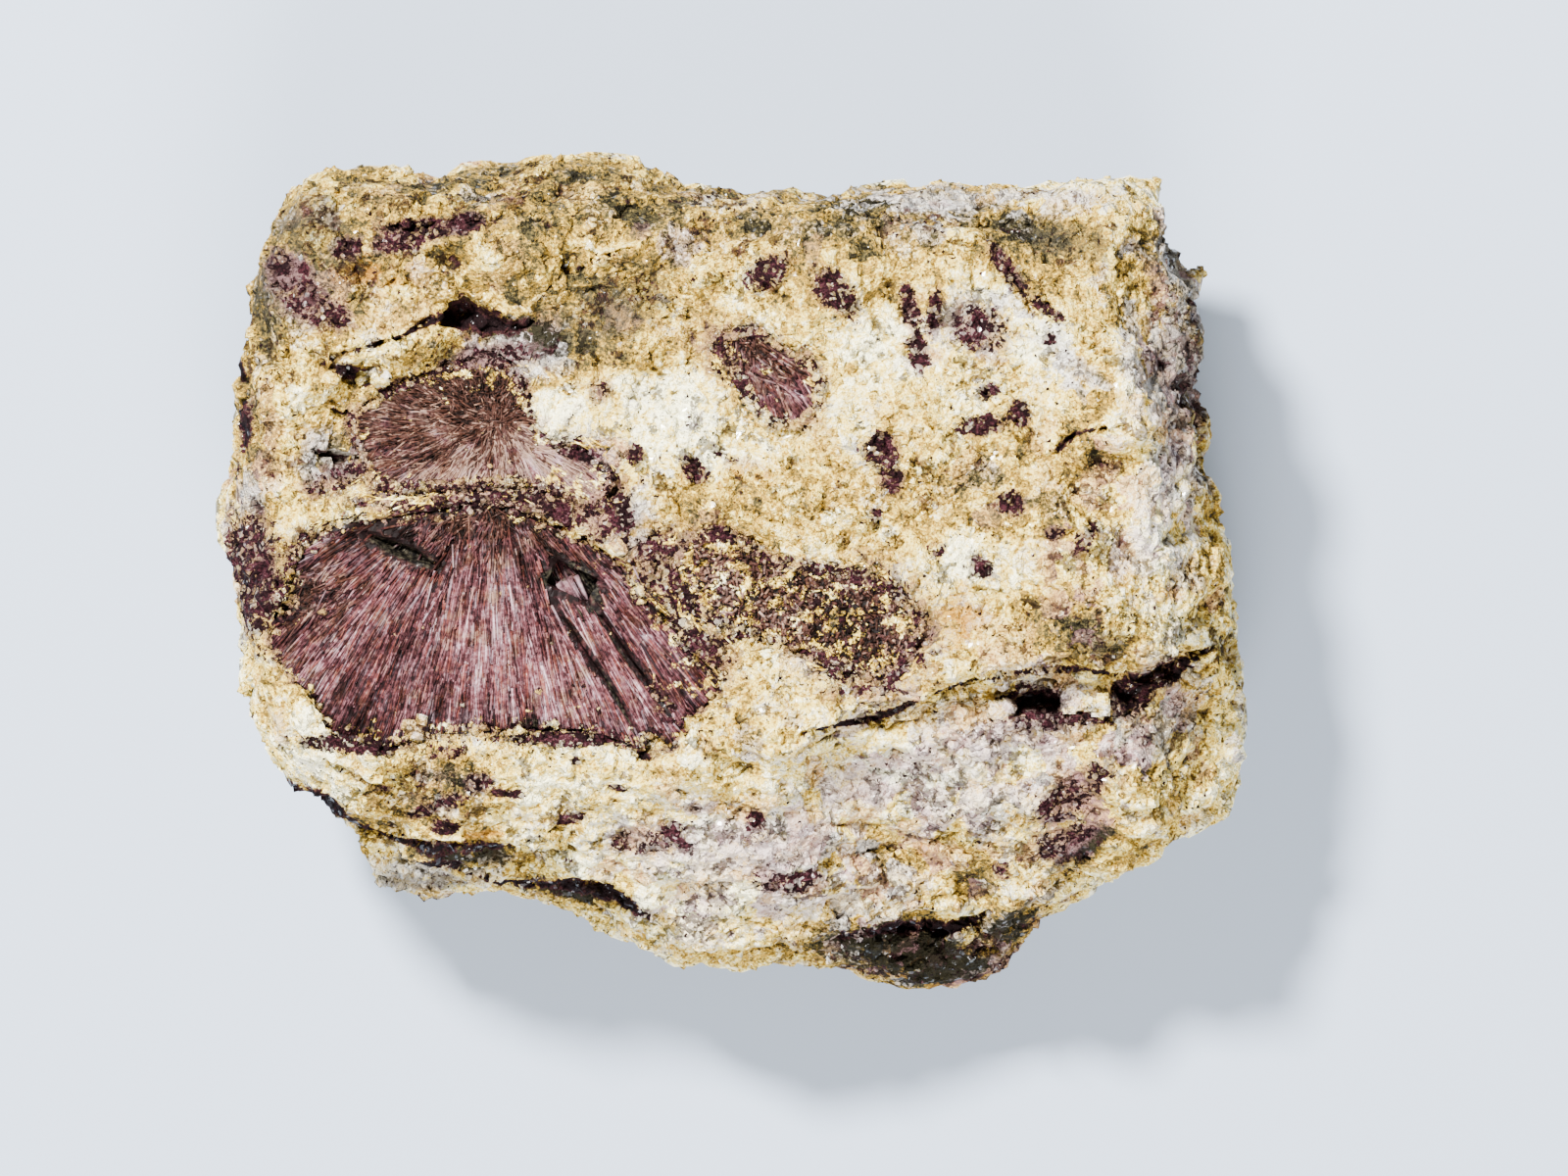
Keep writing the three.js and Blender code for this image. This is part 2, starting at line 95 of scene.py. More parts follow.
def remeshed(node, cell):
    """The CAD solid with even faces, cell metres wide, as a bmesh."""
    rough = new_piece("rough", cad_copy(node))
    remesh = rough.modifiers.new("even faces", "REMESH")
    remesh.mode = "VOXEL"
    remesh.voxel_size = cell
    evaluated = rough.evaluated_get(bpy.context.evaluated_depsgraph_get())
    even = bmesh.new()
    even.from_mesh(evaluated.to_mesh())
    bpy.data.meshes.remove(rough.data)
    return even


rock_solid = remeshed("matrix", 0.85 * MM)
upward = [face for face in rock_solid.faces if face.normal.z > 0.25 and face.calc_center_median().z > 14 * MM]
for face in upward:
    for edge in face.edges:
        edge.tag = True
upward_edges = [edge for edge in rock_solid.edges if edge.tag]
bmesh.ops.subdivide_edges(rock_solid, edges=upward_edges, cuts=1, use_grid_fill=True)
rock_solid.normal_update()
print("rock", len(rock_solid.verts), "corners,", len(upward), "faces refined")

# %% [markdown]
# ## Where the colours lie
#
# The patches of the face are real features of this stone: each is named, with its place, its half length and
# half width in millimetres, and the bearing of its long side where it isn't 0. A soft distance to each patch
# is stored on the mesh, and the material breaks its edge up with noise. Painting an image would give the
# same, but it would tie the stone to one view.

# %% Patches of dumortierite, and black patches of painted shade
PLUM_PATCHES = {
    "speck in the white": (-8.6, 9.9, 1, 0.9), "dark streak": (-1.2, 2.8, 1.8, 1, -25),
    "cluster, heart": (9.6, -4.6, 3.2, 3.6, 30), "cluster, left": (-1, -0.5, 2.8, 1.4, -25),
    "cluster, spur": (15.4, -3.5, 0.9, 0.5), "below the brow": (8.4, 23.2, 2.6, 1.4, -50),
    "faint twin": (2.6, 25, 2, 1.4, 35), "ring, left arc": (14.6, 22, 0.7, 2.4, 10),
    "ring, right arc": (16.6, 21.6, 0.6, 2, -8), "ring, foot": (15.3, 18.4, 0.9, 1.7, 8),
    "crack by the brow, top": (22.8, 25.2, 2.6, 0.7, -56),
    "crack by the brow, foot": (26, 21.9, 1.8, 0.5, -36), "dot below the crack": (26.2, 19.4, 0.6, 0.5),
    "pair, left": (21, 15.1, 1.1, 0.7, 20), "pair, right": (23.8, 13.3, 0.8, 1.2, 20),
    "pair, lower": (20.6, 12.2, 2.2, 0.9, 8), "two lobes, upper": (12.1, 10.3, 1.5, 1.7),
    "two lobes, lower": (13, 7.8, 1.2, 1.1), "dark eye": (-3.6, 8.5, 1.4, 0.9, -30),
    "thin line": (-0.9, 9.6, 1.3, 0.3, -25), "right dot, upper": (23, 5.6, 1.1, 1.2, 40),
    "right dot, lower": (26.6, 3.2, 0.9, 0.7), "right dot, outer": (29.2, 2.6, 1.5, 0.7, 55),
    "streak above the ledge": (20.7, 0.3, 1.5, 0.8, -45), "dot above the cluster": (16.8, 1.8, 0.8, 0.6),
    "dot by the lobes": (11.6, 4.8, 0.6, 0.5), "recess under the ledge": (25.6, -11.4, 3.2, 1.7, -8),
    "recess, right": (33.4, -10.2, 2.6, 1.6, 30), "recess, corner": (37.2, -8.2, 2.8, 0.8, 22),
    "recess, tail": (29.4, -12.2, 2.2, 0.5, -14), "lower right bands": (29.9, -20, 4.2, 0.8, 40),
    "lower right bands, inner": (26.6, -19.4, 2.2, 0.7, 50), "lower right blotch": (22.2, -25.6, 1.2, 0.9),
    "lower streak, left": (6.2, -25.9, 2, 0.5, -5), "lower streak, right": (9, -24.9, 1.2, 0.4, 10),
    "lower blotch": (11.3, -27, 1.2, 0.8), "three legs, body": (-5.7, -21.8, 1, 0.9),
    "three legs, leg": (-4.6, -22.9, 1.2, 0.4, -40), "three legs, dot": (-8.6, -22.6, 0.6, 0.5),
    "drop": (1.7, -21, 0.9, 1.1), "low dot": (-5.9, -28.4, 0.7, 0.4, 20),
    "foot of the spray, dot": (-21.7, -17.8, 1.1, 0.8), "foot of the spray, line": (-18.9, -18.7, 1.8, 0.4),
    "left foot, upper": (-24, -19.3, 1.2, 0.6, 10), "left foot, outer": (-26.6, -20.3, 1.4, 0.5, 15),
    "left foot, lower": (-24.5, -21.6, 1.3, 0.7), "left foot, dash": (-29.6, -18.3, 0.8, 0.3),
    "foot, right dash": (-14.1, -20.8, 1.7, 0.5, 5), "foot, dot": (-10, -18.2, 0.8, 0.3, -10),
    "under the spray": (-13.5, -15.9, 0.4, 0.5), "slab, left blob": (-32.5, 27.1, 1.2, 0.9),
    "slab corner, dark top": (-38.2, 25.6, 1.3, 1.1, -30), "slab, slit": (-25.5, 28.8, 4.6, 0.8, 4),
    "slab, end of slit": (-22.4, 29.2, 1.5, 1), "edge slit, upper": (-42.1, 17.1, 0.4, 1),
    "edge slit, middle": (-41.6, 12.5, 0.8, 2.1), "edge slit, lower": (-42.5, 8.7, 0.4, 1.2),
    "edge crystals": (-41, -0.4, 3, 5.4, 8), "rim of the large spray": (-30, -14.6, 7, 0.9, -4),
    "band between the sprays, left": (-25.2, 5.3, 2.4, 0.8, 4),
    "band between the sprays, middle": (-19.6, 6.3, 2, 0.6, -4),
    "band between the sprays, right": (-14.9, 5, 2.2, 1, -25),
    "beside the white needles": (-12.6, 8.9, 2.2, 1.5, -50),
    "beside the white needles, low": (-9.6, 4.8, 1, 2.2, 10),
    "by the right edge of the spray": (-4, -3.2, 2.6, 1.2, -40),
    "foot of the large spray": (-14, -14, 7.5, 0.7),
}
MOTTLED_PATCHES = {
    "recess under the ledge": (26, -11.6, 4.6, 1.8, 5), "recess, right": (34.6, -9.4, 4.6, 1.5, 25),
    "beside the upper spray": (-13.1, 8.2, 4.2, 3.2, -40), "between the sprays": (-12, 4.6, 1.9, 2.8, 15),
    "bridge of the sprays": (-18.5, 6.4, 5, 1.3, -8), "left of the upper spray": (-33.4, 7.8, 3.4, 1.2, 20),
    "above the rim": (-28, 5.6, 5, 1, -4), "band between the sprays": (-19.5, 5.8, 9.5, 2.4),
    "top left of the large spray": (-36.2, 1.6, 1.6, 2.4, -20),
    "right of the large spray": (-3.9, -4.6, 5.6, 2.3, -46), "cluster, left part": (-4, -0.6, 6.4, 4, -25),
    "cluster, middle": (3.4, -2.2, 3.8, 2.8, -30), "cluster, right part": (10.9, -4.9, 6, 6.2, 30),
    "small spray": (2.2, 16.4, 6.2, 3, -38), "slab corner": (-37.4, 24.8, 2.6, 1.7, -35),
    "slab corner, foot": (-35.2, 21.9, 3.4, 1.4, -20), "slab, right": (-28, 27.6, 3, 1, 10),
    "above the upper spray": (-20.6, 17.8, 3.6, 1.4, 10), "lavender specks": (20.5, 20.4, 3, 2.2, -30),
    "faint freckles": (-11.5, 15, 1.1, 1.1), "lower middle": (-8, -22.8, 3.4, 1.2),
    "lower right edge": (28, -22.8, 3, 1.2, 35), "lower right": (28.6, -18.8, 4.6, 1.7, 42),
    "bottom lobe": (3.6, -26.4, 3.4, 1, -8),
}
# Painted shade: the black patches are pits, notches, grooves and cracks where shade falls, also pushed in as
# real gaps; a few are dark grains.
BLACK_PATCHES = {
    "pit in the slab": (-21.4, 21.2, 2.9, 1.3, -22), "recess, end": (37.4, -8.6, 1.4, 0.8, 25),
    "slab, slit": (-22.6, 29, 1.7, 0.5), "hole at the foot": (-12.2, -26.9, 2.1, 0.7),
    "crack at the foot": (16.2, -30.2, 2.5, 0.5, -4), "dark eye": (-3.6, 8.5, 0.7, 0.4, -30),
    "crystal in the pair": (20.8, 15, 0.6, 0.35, 20), "wedge by the apex": (-28, 1.6, 4, 0.75, -23),
    "notch, upper side": (-15, -0.2, 2.6, 0.8, 25), "notch, right side": (-12.2, -1.2, 2.4, 0.6, -62),
    "notch, lower side": (-12.9, -3.3, 1.7, 0.3, 3), "long groove": (-9.8, -11.2, 4.6, 0.22, -63),
    "second groove": (-10.2, -6, 4.4, 0.2, -58), "foot pit": (-8, -15.3, 0.9, 0.5, -40),
    "dark grain at the foot": (-17.1, -12.9, 1, 0.7), "left break": (-36.6, -3.2, 2, 0.25, -6),
}
print(len(PLUM_PATCHES), "plum,", len(MOTTLED_PATCHES), "mottled and", len(BLACK_PATCHES), "black patches")

# %% [markdown]
# The rock between the patches changes colour more softly: iron stains it ochre, the top strip carries olive
# grime, and feldspar and quartz leave it white, grey or pinkish. Painted shade darkens it where less light
# falls: the grime zones also darken the flanks, corners and slopes under the ledges, the shade zones the
# flanks, borders, step and undercuts, and the undercut zones the underside. Each zone is a soft cloud. The
# gaps are dark lines through points, each with its half width: painted shadows under the ledges and in
# the cracks, which are also pushed in.

# %% Soft zones of the rock
ZONES = {
    # Olive grime on the top strip and the step, and painted shade on the flanks, the corners and the slopes
    # under the ledges.
    "grime": {
        "top strip": (-16, 31.5, 26, 4.6), "slope under the knob": (-10.6, 22, 8.5, 5.2, 25),
        "top left corner": (-36, 28.5, 8, 6), "slab corner": (-39.5, 24, 3.6, 5),
        "left flank": (-40, 14, 2.6, 8), "top, above the slab": (-23, 29.4, 7, 3.2),
        "top strip, right": (14, 30.6, 10, 2.4), "above the ledge, right": (30, -5, 4.4, 3),
        "slope under the large spray": (-24, -17.4, 5, 1.8),
        "above the upper spray": (-24, 17.5, 7, 2.6, 20), "between the sprays, left": (-33.5, 10.4, 4.2, 3),
        "top right": (26, 27.5, 8, 3.4, -15), "foot of the large spray": (-30, -12.2, 2, 1.2),
        "under the lower ledge": (12, -31.5, 10, 2.2), "right flank": (38.8, 18.5, 3.2, 10),
    },
    "ochre": {
        "slab": (-30, 23.5, 11, 4.5, 15), "slab, heart": (-28, 25, 6, 2.5, 10),
        "left rim": (-38.5, -10, 2.2, 9), "middle": (-1, 5.6, 6, 3.4),
        "above the ledge": (25, -4.6, 8, 2.6), "right of the middle": (20, 7.4, 9, 4.4),
        "beside the right edge": (29.4, 8, 3.4, 10), "top middle": (5, 28, 14, 3),
        "right of the large spray": (-1, -13, 5.5, 3.6, -20), "lower left": (-27, -19, 8, 3),
        "right corner": (36.6, -13.6, 5, 5.6), "right corner, heart": (36, -14, 3.4, 3.4),
        "right nose": (39, -1.2, 4, 2.6), "lower right": (18, -25, 8, 3),
        "lip at the foot": (-21.4, -22.4, 2.8, 0.9, 10),
    },
    "white": {
        "slope under the large spray": (-15.6, -18.5, 5, 2), "heart": (-5, 13, 6.6, 4, -20),
        "band by the brow": (24, 20, 6, 1.6, -38), "under the cluster": (0, -17, 5, 3),
        "above the ledge, left": (20, 0.6, 5, 2.4), "beside the upper spray": (-14.6, 12.6, 3.6, 4, 40),
        "right terrace": (35, 4, 4, 9), "upper right": (12, 18, 6, 4, 30),
        "left foot": (-36.4, -14.5, 5.6, 7), "bottom lobe": (-2, -26, 12, 6, -10),
        "quartz band": (11, -17.5, 13, 4.6), "right corner": (42, -15, 1.8, 2.6),
        "below the pit": (-10.5, 27, 3, 1, 20), "lower right ledge": (22, -15.5, 6, 3),
    },
    "quartz": {
        "under the ledge": (24, -14.5, 12, 5, 10), "bottom": (2, -24, 14, 5, -5),
        "quartz band": (12, -17.5, 12, 4.2, -5), "groove": (33.2, 20, 1, 7, 5),
        "right flank": (37.4, 18, 3.2, 10), "lavender specks": (20.5, 20.4, 3.6, 2.4, -30),
        "grey block": (-27.5, -25.8, 7, 1.8), "left edge": (-41.5, 6.5, 1.6, 1.8),
        "left of the upper spray": (-34.2, 9.8, 2.6, 2.8), "band by the brow": (26.6, 18.2, 8, 1.2, -38),
        "right terrace": (37.4, 7, 2.8, 8), "right end": (38, 26, 2.6, 5),
        "under the slab": (-18, 18.4, 3.6, 1.8), "top right edge": (18, 31.5, 12, 1.4),
        "low right": (27, -28.5, 2.2, 1.6), "above the cluster": (-8.6, 4.5, 1.6, 2.2),
        "beside the white needles": (-11.6, 9.4, 2.6, 2, -40),
    },
    # Painted shade on the undercuts and on the dark underside.
    "soot": {
        "dark underside": (16, -33.6, 8.4, 3.4, -8), "bottom right, outer": (23.4, -30.6, 3, 1.8, 30),
        "lower left undercut": (-35, -19.8, 3.6, 0.9, -30), "lower left ledges": (-23, -24, 5, 0.9),
        "lower right edge": (29.6, -23.4, 2.8, 1, 35), "under the lobe": (-14, -27.4, 5, 0.9, -12),
        "beside the pit": (-17, 19.6, 3.4, 1.6, -20),
    },
    "rust": {
        "lower right": (16, -23.6, 1.5, 1), "lower right, outer": (27.7, -18.3, 1, 0.7),
        "lip at the foot": (-21.4, -22.2, 2.6, 0.8), "slab": (-30.5, 25.2, 4.6, 1.5, 5),
        "under the cluster": (13, -10, 5, 1.6, 5), "right of the cluster": (18.6, -4, 1.6, 3),
        "left rim": (-38.4, -13, 1, 3), "right nose": (36, -2, 2.4, 1),
        "beside the heart": (1.6, 8, 3, 1.2, -20),
    },
    # Painted shade: a dark olive layer where less light falls, on the flanks, borders, step and undercuts.
    "shade": {
        "right flank": (38.4, 18.5, 4.6, 11), "step under the knob": (-10.6, 22, 7.5, 4.2, 25),
        "above the upper spray": (-22, 18.2, 4, 1.6, 20), "left of the upper spray": (-33.4, 9.8, 3.8, 3.2),
        "between the sprays": (-30, 6.4, 5, 1.4, -6), "under the lower ledge": (30, -11, 9, 2.6),
        "bottom right": (16, -33, 8, 2.6, -8), "foot of the grey block": (-27, -26.6, 7, 1.6),
        "top edge": (4, 32.6, 16, 1, -2), "top left corner": (-36.4, 29.4, 5, 4),
        "slab corner": (-39, 24, 3, 4.6), "lower left ledges": (-23, -24.2, 6, 2),
        "lower right edge": (28.8, -22.8, 4, 2.4, 35), "above the ledge, right": (30, -6.4, 3.6, 1.8),
        "top right corner": (36.6, 27, 3, 4.6), "top right": (27.6, 28, 6, 2.4, -15),
        "right corner": (36.4, -13.6, 3.2, 3.4),
    },
    "pink": {
        "bottom lobe": (-2, -27, 9, 4), "under the ledge": (22, -14.5, 14, 6, 10),
        "bottom": (6, -24, 14, 5, -5), "right flank": (37, 17, 3, 10), "right terrace": (31.6, 4, 4.4, 7),
        "between the sprays": (-14, 7.8, 5.4, 5), "band between the sprays": (-21, 6, 9, 1.8),
        "left edge": (-41, 2, 3, 6), "lower right": (29, -18.5, 5, 3.6, 30),
        "lower middle": (-8, -22.5, 6, 2.4), "cluster": (3, -2.6, 9, 3.6, -15),
        "ring": (16, 20.5, 2.4, 3.4),
    },
}

# Painted shadow: dark lines under the ledges and along the cracks, which are also pushed in as real gaps.
DARK_LINES = {
    "under the lower right ledge": [
        (5.6, -13.6, 0.15), (9, -12.8, 0.25), (12.4, -12.2, 0.5), (15.4, -10.6, 0.2), (20.5, -9, 0.25),
        (24.2, -8.4, 0.35), (28.2, -8.2, 0.4), (31.2, -8.6, 0.2), (34.2, -9, 0.35), (37.6, -7.7, 0.4),
        (40.4, -6.4, 0.2),
    ],
    "recess under the ledge": [
        (21.6, -12.4, 0.3), (24.4, -11, 0.7), (26.6, -10.8, 0.6), (29.8, -12.3, 0.2),
    ],
    "recess, right": [(31.8, -9.6, 0.3), (33, -10.6, 0.6), (35, -9.4, 0.3)],
    "upper slab": [
        (-34.8, 17.4, 0.1), (-31.5, 18.6, 0.2), (-28.2, 19.6, 0.1), (-25.4, 21.2, 0.5), (-22, 21.2, 1.1),
        (-19, 20.4, 0.8), (-17, 21, 0.15),
    ],
    "hollow under the slab": [(-33.4, 17, 0.6), (-31.2, 16.4, 0.8), (-30.6, 16, 0.3)],
    "end of the slab": [(-16.8, 22.4, 0.1), (-14.5, 25, 0.12), (-9, 27, 0.1)],
    "right terrace": [(27, 10.2, 0.4), (28.4, 11.6, 0.22), (32.4, 11.9, 0.1)],
    "brow": [(21.3, 27, 0.12), (24, 24.2, 0.25), (27.2, 21, 0.12)],
    "lower left ledge": [
        (-38.7, -18, 0.4), (-35, -19.4, 0.8), (-32.6, -21.2, 0.25), (-28.8, -22.8, 0.25),
        (-24.8, -23.5, 0.75), (-19.4, -23.2, 0.3),
    ],
    "second ledge": [(-27, -24.8, 0.3), (-23.7, -25.1, 0.6), (-20.7, -26.4, 0.3)],
    "bottom lip": [(-20.7, -26.6, 0.3), (-14.6, -26.7, 0.7), (-10.6, -27.4, 0.8), (-7.4, -29.6, 0.2)],
    "bottom right": [(8.8, -31.2, 0.3), (14, -30.4, 0.8), (18.8, -30.5, 0.7), (21.7, -29, 0.2)],
    "left break": [(-38.9, -4.3, 0.5), (-36, -3.6, 0.4), (-34, -3.9, 0.15)],
    "left flange, upper": [(-42.3, 18, 0.3), (-41.9, 16.2, 0.3)],
    "left flange, middle": [(-41.6, 14.4, 0.4), (-41.2, 12.5, 0.5), (-41.4, 10.4, 0.35)],
    "left flange, lower": [(-42.4, 9.6, 0.25), (-42.5, 7.8, 0.3)],
    "above the upper spray, left": [(-34, 13.6, 0.2), (-31.6, 12.9, 0.35), (-28.8, 12.9, 0.15)],
    "left of the upper spray": [(-35.4, 10.2, 0.15), (-33.4, 9.5, 0.3), (-31.4, 9.7, 0.15)],
}

# How strong each zone is on the walls and the back: a level, and how far noise swings it up or down.
UNSEEN = {
    "grime": (0.05, 0.5), "ochre": (0.35, -0.9), "white": (0.4, 0.9), "quartz": (0.1, 0.7),
    "soot": (-0.3, 1), "rust": (0.1, -0.7), "shade": (-0.1, 0.8), "pink": (0.2, -0.8),
}
print({name: len(zones) for name, zones in ZONES.items()}, "zones,", len(DARK_LINES), "dark lines")

# %% [markdown]
# A field turns a table into one number for each corner of a mesh. The photograph shows the face only, so each
# table fades out down the walls, each at a height of its own, and noise takes over there and on the back.


# %% Fields over a mesh
def in_patch(places, x, y, half_length, half_width, bearing=0):
    """How far inside an oval patch each place is: 1 at its middle, 0 at its edge and below 0 outside."""
    turn = math.radians(bearing)
    right, up = places[:, 0] / MM - x, places[:, 1] / MM - y
    along = right * math.cos(turn) + up * math.sin(turn)
    across = up * math.cos(turn) - right * math.sin(turn)
    return 1 - np.hypot(along / half_length, across / half_width)


def patch_field(places, patches):
    """The nearest patch's value at each place, held to -1 to 1."""
    return np.clip(np.max([in_patch(places, *patch) for patch in patches.values()], axis=0), -1, 1)


def line_field(places, lines):
    """1 on a dark line, 0 at its edge and below 0 outside. Every point of a line has its own half width."""
    spots = places[:, :2] / MM
    field = np.full(len(spots), -1.0)
    for line in lines.values():
        for start, end in zip(np.array(line), np.array(line)[1:]):
            leg = end[:2] - start[:2]
            share = np.clip((spots - start[:2]) @ leg / (leg @ leg), 0, 1)
            away = np.hypot(*(spots - start[:2] - share[:, None] * leg).T)
            field = np.maximum(field, 1 - away / (start[2] + share * (end[2] - start[2])))
    return field


def depth_field(places):
    """Where gaps open between the grains: above 0 inside them."""
    return np.maximum(patch_field(places, BLACK_PATCHES), line_field(places, DARK_LINES))


def zone_field(places, zones):
    """A soft cloud from 0 to 1 for each zone, the strongest one counting."""
    return np.max([np.exp(-((1 - in_patch(places, *zone)) ** 2)) for zone in zones.values()], axis=0)


def share_above(places, foot, rise, wander=0):
    """Rises from 0 at a height in millimetres to 1 over the next few, with an edge that noise can move."""
    return np.clip((places[:, 2] / MM - foot + wander) / rise, 0, 1)


def places_of(mesh):
    """Every corner's place, in metres."""
    places = np.empty(3 * len(mesh.vertices), dtype=np.float32)
    mesh.vertices.foreach_get("co", places)
    return places.reshape(-1, 3)


def store(mesh, name, values):
    """Keeps one number a corner on a mesh, for its material to read."""
    layer = mesh.attributes.new(name, "FLOAT", "POINT")
    layer.data.foreach_set("value", np.ascontiguousarray(values, dtype=np.float32))


DROP_FROM = 0.1  # metres, well above the stone


def landing(tree, x, y):
    """Where a thing dropped at a place in metres lands on a surface, and the normal there, or None twice."""
    return tree.ray_cast(Vector((x, y, DROP_FROM)), Vector((0, 0, -1)))[:2]


def height_at(tree, x, y):
    """Height of a surface at a place in metres, or None beside it."""
    spot = landing(tree, x, y)[0]
    return None if spot is None else spot.z


class Lens:
    """The CAD lens of one spray: how high it is, and where its outline runs."""

    EDGE_STEP = 0.3 * MM
    RING = [(k * math.pi / 4, reach * MM) for k in range(8) for reach in (0.7, 1.5)]

    def __init__(self, node):
        solid = cad_copy(node)
        self.tree = BVHTree.FromBMesh(solid)
        self.low = [min(corner.co[axis] for corner in solid.verts) for axis in (0, 1)]
        self.high = [max(corner.co[axis] for corner in solid.verts) for axis in (0, 1)]
        self.shares = {}
        solid.free()

    def height(self, x, y):
        """Height of the lens at a place in metres, or None beside it."""
        return height_at(self.tree, x, y)

    def edge_share(self, x, y):
        """How much of the ground around a place is not the spray: 0 inside, about 1 at its outline."""
        key = (round(x / self.EDGE_STEP), round(y / self.EDGE_STEP))
        if key not in self.shares:
            missed = [self.height(x + r * math.cos(a), y + r * math.sin(a)) is None for a, r in self.RING]
            self.shares[key] = 2 * sum(missed) / len(self.RING)
        return self.shares[key]

    def random_spot(self, roller, margin=0.0):
        """A random place in metres in the lens's box, widened by a margin."""
        return [roller.uniform(low - margin, high + margin) for low, high in zip(self.low, self.high)]


lenses = {node: Lens(node) for node in ("large_spray", "upper_spray", "middle_cluster", "small_spray")}
HALO = 1.8 * MM


def halo_field(places):
    """How close a spray is: 1 at its edge and 0 a halo's width away."""
    near = []
    for place in places:
        found = [lens.tree.find_nearest(Vector(place), HALO)[3] for lens in lenses.values()]
        near.append(1 - min([away for away in found if away is not None], default=HALO) / HALO)
    return np.array(near)


# Where the tables of the face begin to fade in on the walls, in millimetres above the joint face.
RIM_FOOT, FACE_FOOT, GAP_FOOT, VIEW_FOOT = 23, 14, 12, 7


def paint_rock(mesh):
    """Stores where each kind of colour lies. The plum patches end under the rim, the other tables further
    down, and the painted shade of the undercuts and of the gaps near the foot, which can all be seen from
    above."""
    places = places_of(mesh)
    wander = np.array([noise.noise(Vector(place) * 130) for place in places])
    wander_wide = np.array([noise.noise(Vector(place) * 60 + Vector((9, 4, 2))) for place in places])
    rim_share = share_above(places, RIM_FOOT, 6, 20 * wander)
    face_share = share_above(places, FACE_FOOT, 6, 14 * wander)
    view_share = share_above(places, VIEW_FOOT, 5)
    unseen_plum = np.clip(3.2 * (wander - 0.42), -1, 0.7)
    mottled = np.maximum(patch_field(places, MOTTLED_PATCHES), 1.2 * halo_field(places) - 0.75)
    store(mesh, "plum", rim_share * patch_field(places, PLUM_PATCHES) + (1 - rim_share) * unseen_plum)
    store(mesh, "mottled", face_share * mottled + (1 - face_share) * unseen_plum)
    store(mesh, "black", view_share * depth_field(places) - (1 - view_share))
    for name, zones in ZONES.items():
        level, swing = UNSEEN[name]
        unseen = np.clip(level + swing * wander_wide, 0, 1)
        share = view_share if name == "soot" else face_share
        store(mesh, name, share * zone_field(places, zones) + (1 - share) * unseen)


print({node: [round(side / MM, 1) for side in lens.low + lens.high] for node, lens in lenses.items()})

# %% [markdown]
# ## The broken rock
#
# Coarse rock breaks along the flat cleavage faces of its grains. Cell noise gives that: every cell is a
# grain, and its face gets a tilt and a height of its own, so that neighbours meet in small angular steps. The
# gaps under the ledges are pushed in, so that little light gets there. The relief fades to nothing at the
# joint face, which has to stay flat, and beside the sprays, which it would hide.


# %% Grain relief
def held(value, low=0.0, high=1.0):
    return min(high, max(low, value))


def cleavage(place, size):
    """Height of a tilted grain face, from about -1 to 1, with grains of this size in millimetres."""
    middle = noise.voronoi(place / (size * MM))[1][0]
    tilt = noise.cell_vector(middle * 9)
    return (place / (size * MM) - middle).dot(tilt) + 0.5 * tilt.z


def grain_relief(place):
    """Height in metres that the broken grains add at a place."""
    far = noise.fractal(place / (6 * MM), 0.9, 2.0, 4)
    return MM * (0.5 * far + 0.5 * cleavage(place, 3.8) + 0.36 * cleavage(place, 1.7))


# The ragged noise takes its offsets from a seed, which is the clock's time unless it is set.
NOISE_SEED = 7
noise.seed_set(NOISE_SEED)
RAGGED, RAGGED_SIZE = 0.3 * MM, 1.3 * MM
GAP_DEPTH, GAP_BREAK_SIZE = 1.7 * MM, 2.2 * MM
FLAT_FOOT, FOOT_RISE = 0.4, 2.5  # millimetres that stay flat, and over which the relief comes in
corner_places = np.array([corner.co[:] for corner in rock_solid.verts])
gaps = np.clip(depth_field(corner_places) + 0.15, 0, 1) ** 0.5
gaps = gaps * share_above(corner_places, GAP_FOOT, 4) * GAP_DEPTH
halos = halo_field(corner_places)
moves = []
for corner, gap, halo in zip(rock_solid.verts, gaps, halos):
    footing = held((corner.co.z / MM - FLAT_FOOT) / FOOT_RISE)
    ragged = noise.noise_vector(corner.co / RAGGED_SIZE) * RAGGED * (1 - halo)
    broken = held(0.6 + 1.6 * noise.noise(corner.co / GAP_BREAK_SIZE))
    relief = grain_relief(corner.co)
    relief = min(relief, relief * (1 - halo)) - 0.1 * MM * halo
    moves.append((corner.normal * (relief - gap * broken) + ragged) * footing)
for corner, move in zip(rock_solid.verts, moves):
    corner.co += move
    for axis in range(3):
        corner.co[axis] = held(corner.co[axis], cad_low[axis], cad_high[axis])

rock = new_piece("rock", rock_solid)
rock.data.shade_flat()
rock_tree = BVHTree.FromObject(rock, bpy.context.evaluated_depsgraph_get())
CAVITY_ROUNDS = 14


def cavity_of(mesh):
    """How deep each corner lies below its surroundings, in millimetres: above 0 in hollows and gaps."""
    places = places_of(mesh)
    ends = np.empty(2 * len(mesh.edges), dtype=np.int32)
    mesh.edges.foreach_get("vertices", ends)
    a, b = ends.reshape(-1, 2).T
    count = np.bincount(a, minlength=len(places)) + np.bincount(b, minlength=len(places))
    smooth = places.astype(np.float64)
    for _ in range(CAVITY_ROUNDS):
        total = np.empty_like(smooth)
        for axis in range(3):
            total[:, axis] = np.bincount(a, smooth[b, axis], len(places))
            total[:, axis] += np.bincount(b, smooth[a, axis], len(places))
        smooth = total / count[:, None]
    normals = np.empty(3 * len(places), dtype=np.float32)
    mesh.vertices.foreach_get("normal", normals)
    return np.sum((smooth - places) * normals.reshape(-1, 3), axis=1) / MM


paint_rock(rock.data)
store(rock.data, "cavity", cavity_of(rock.data))
store(rock.data, "grain", np.full(len(rock.data.vertices), 0.5))
print("rock", len(rock.data.polygons), "faces")
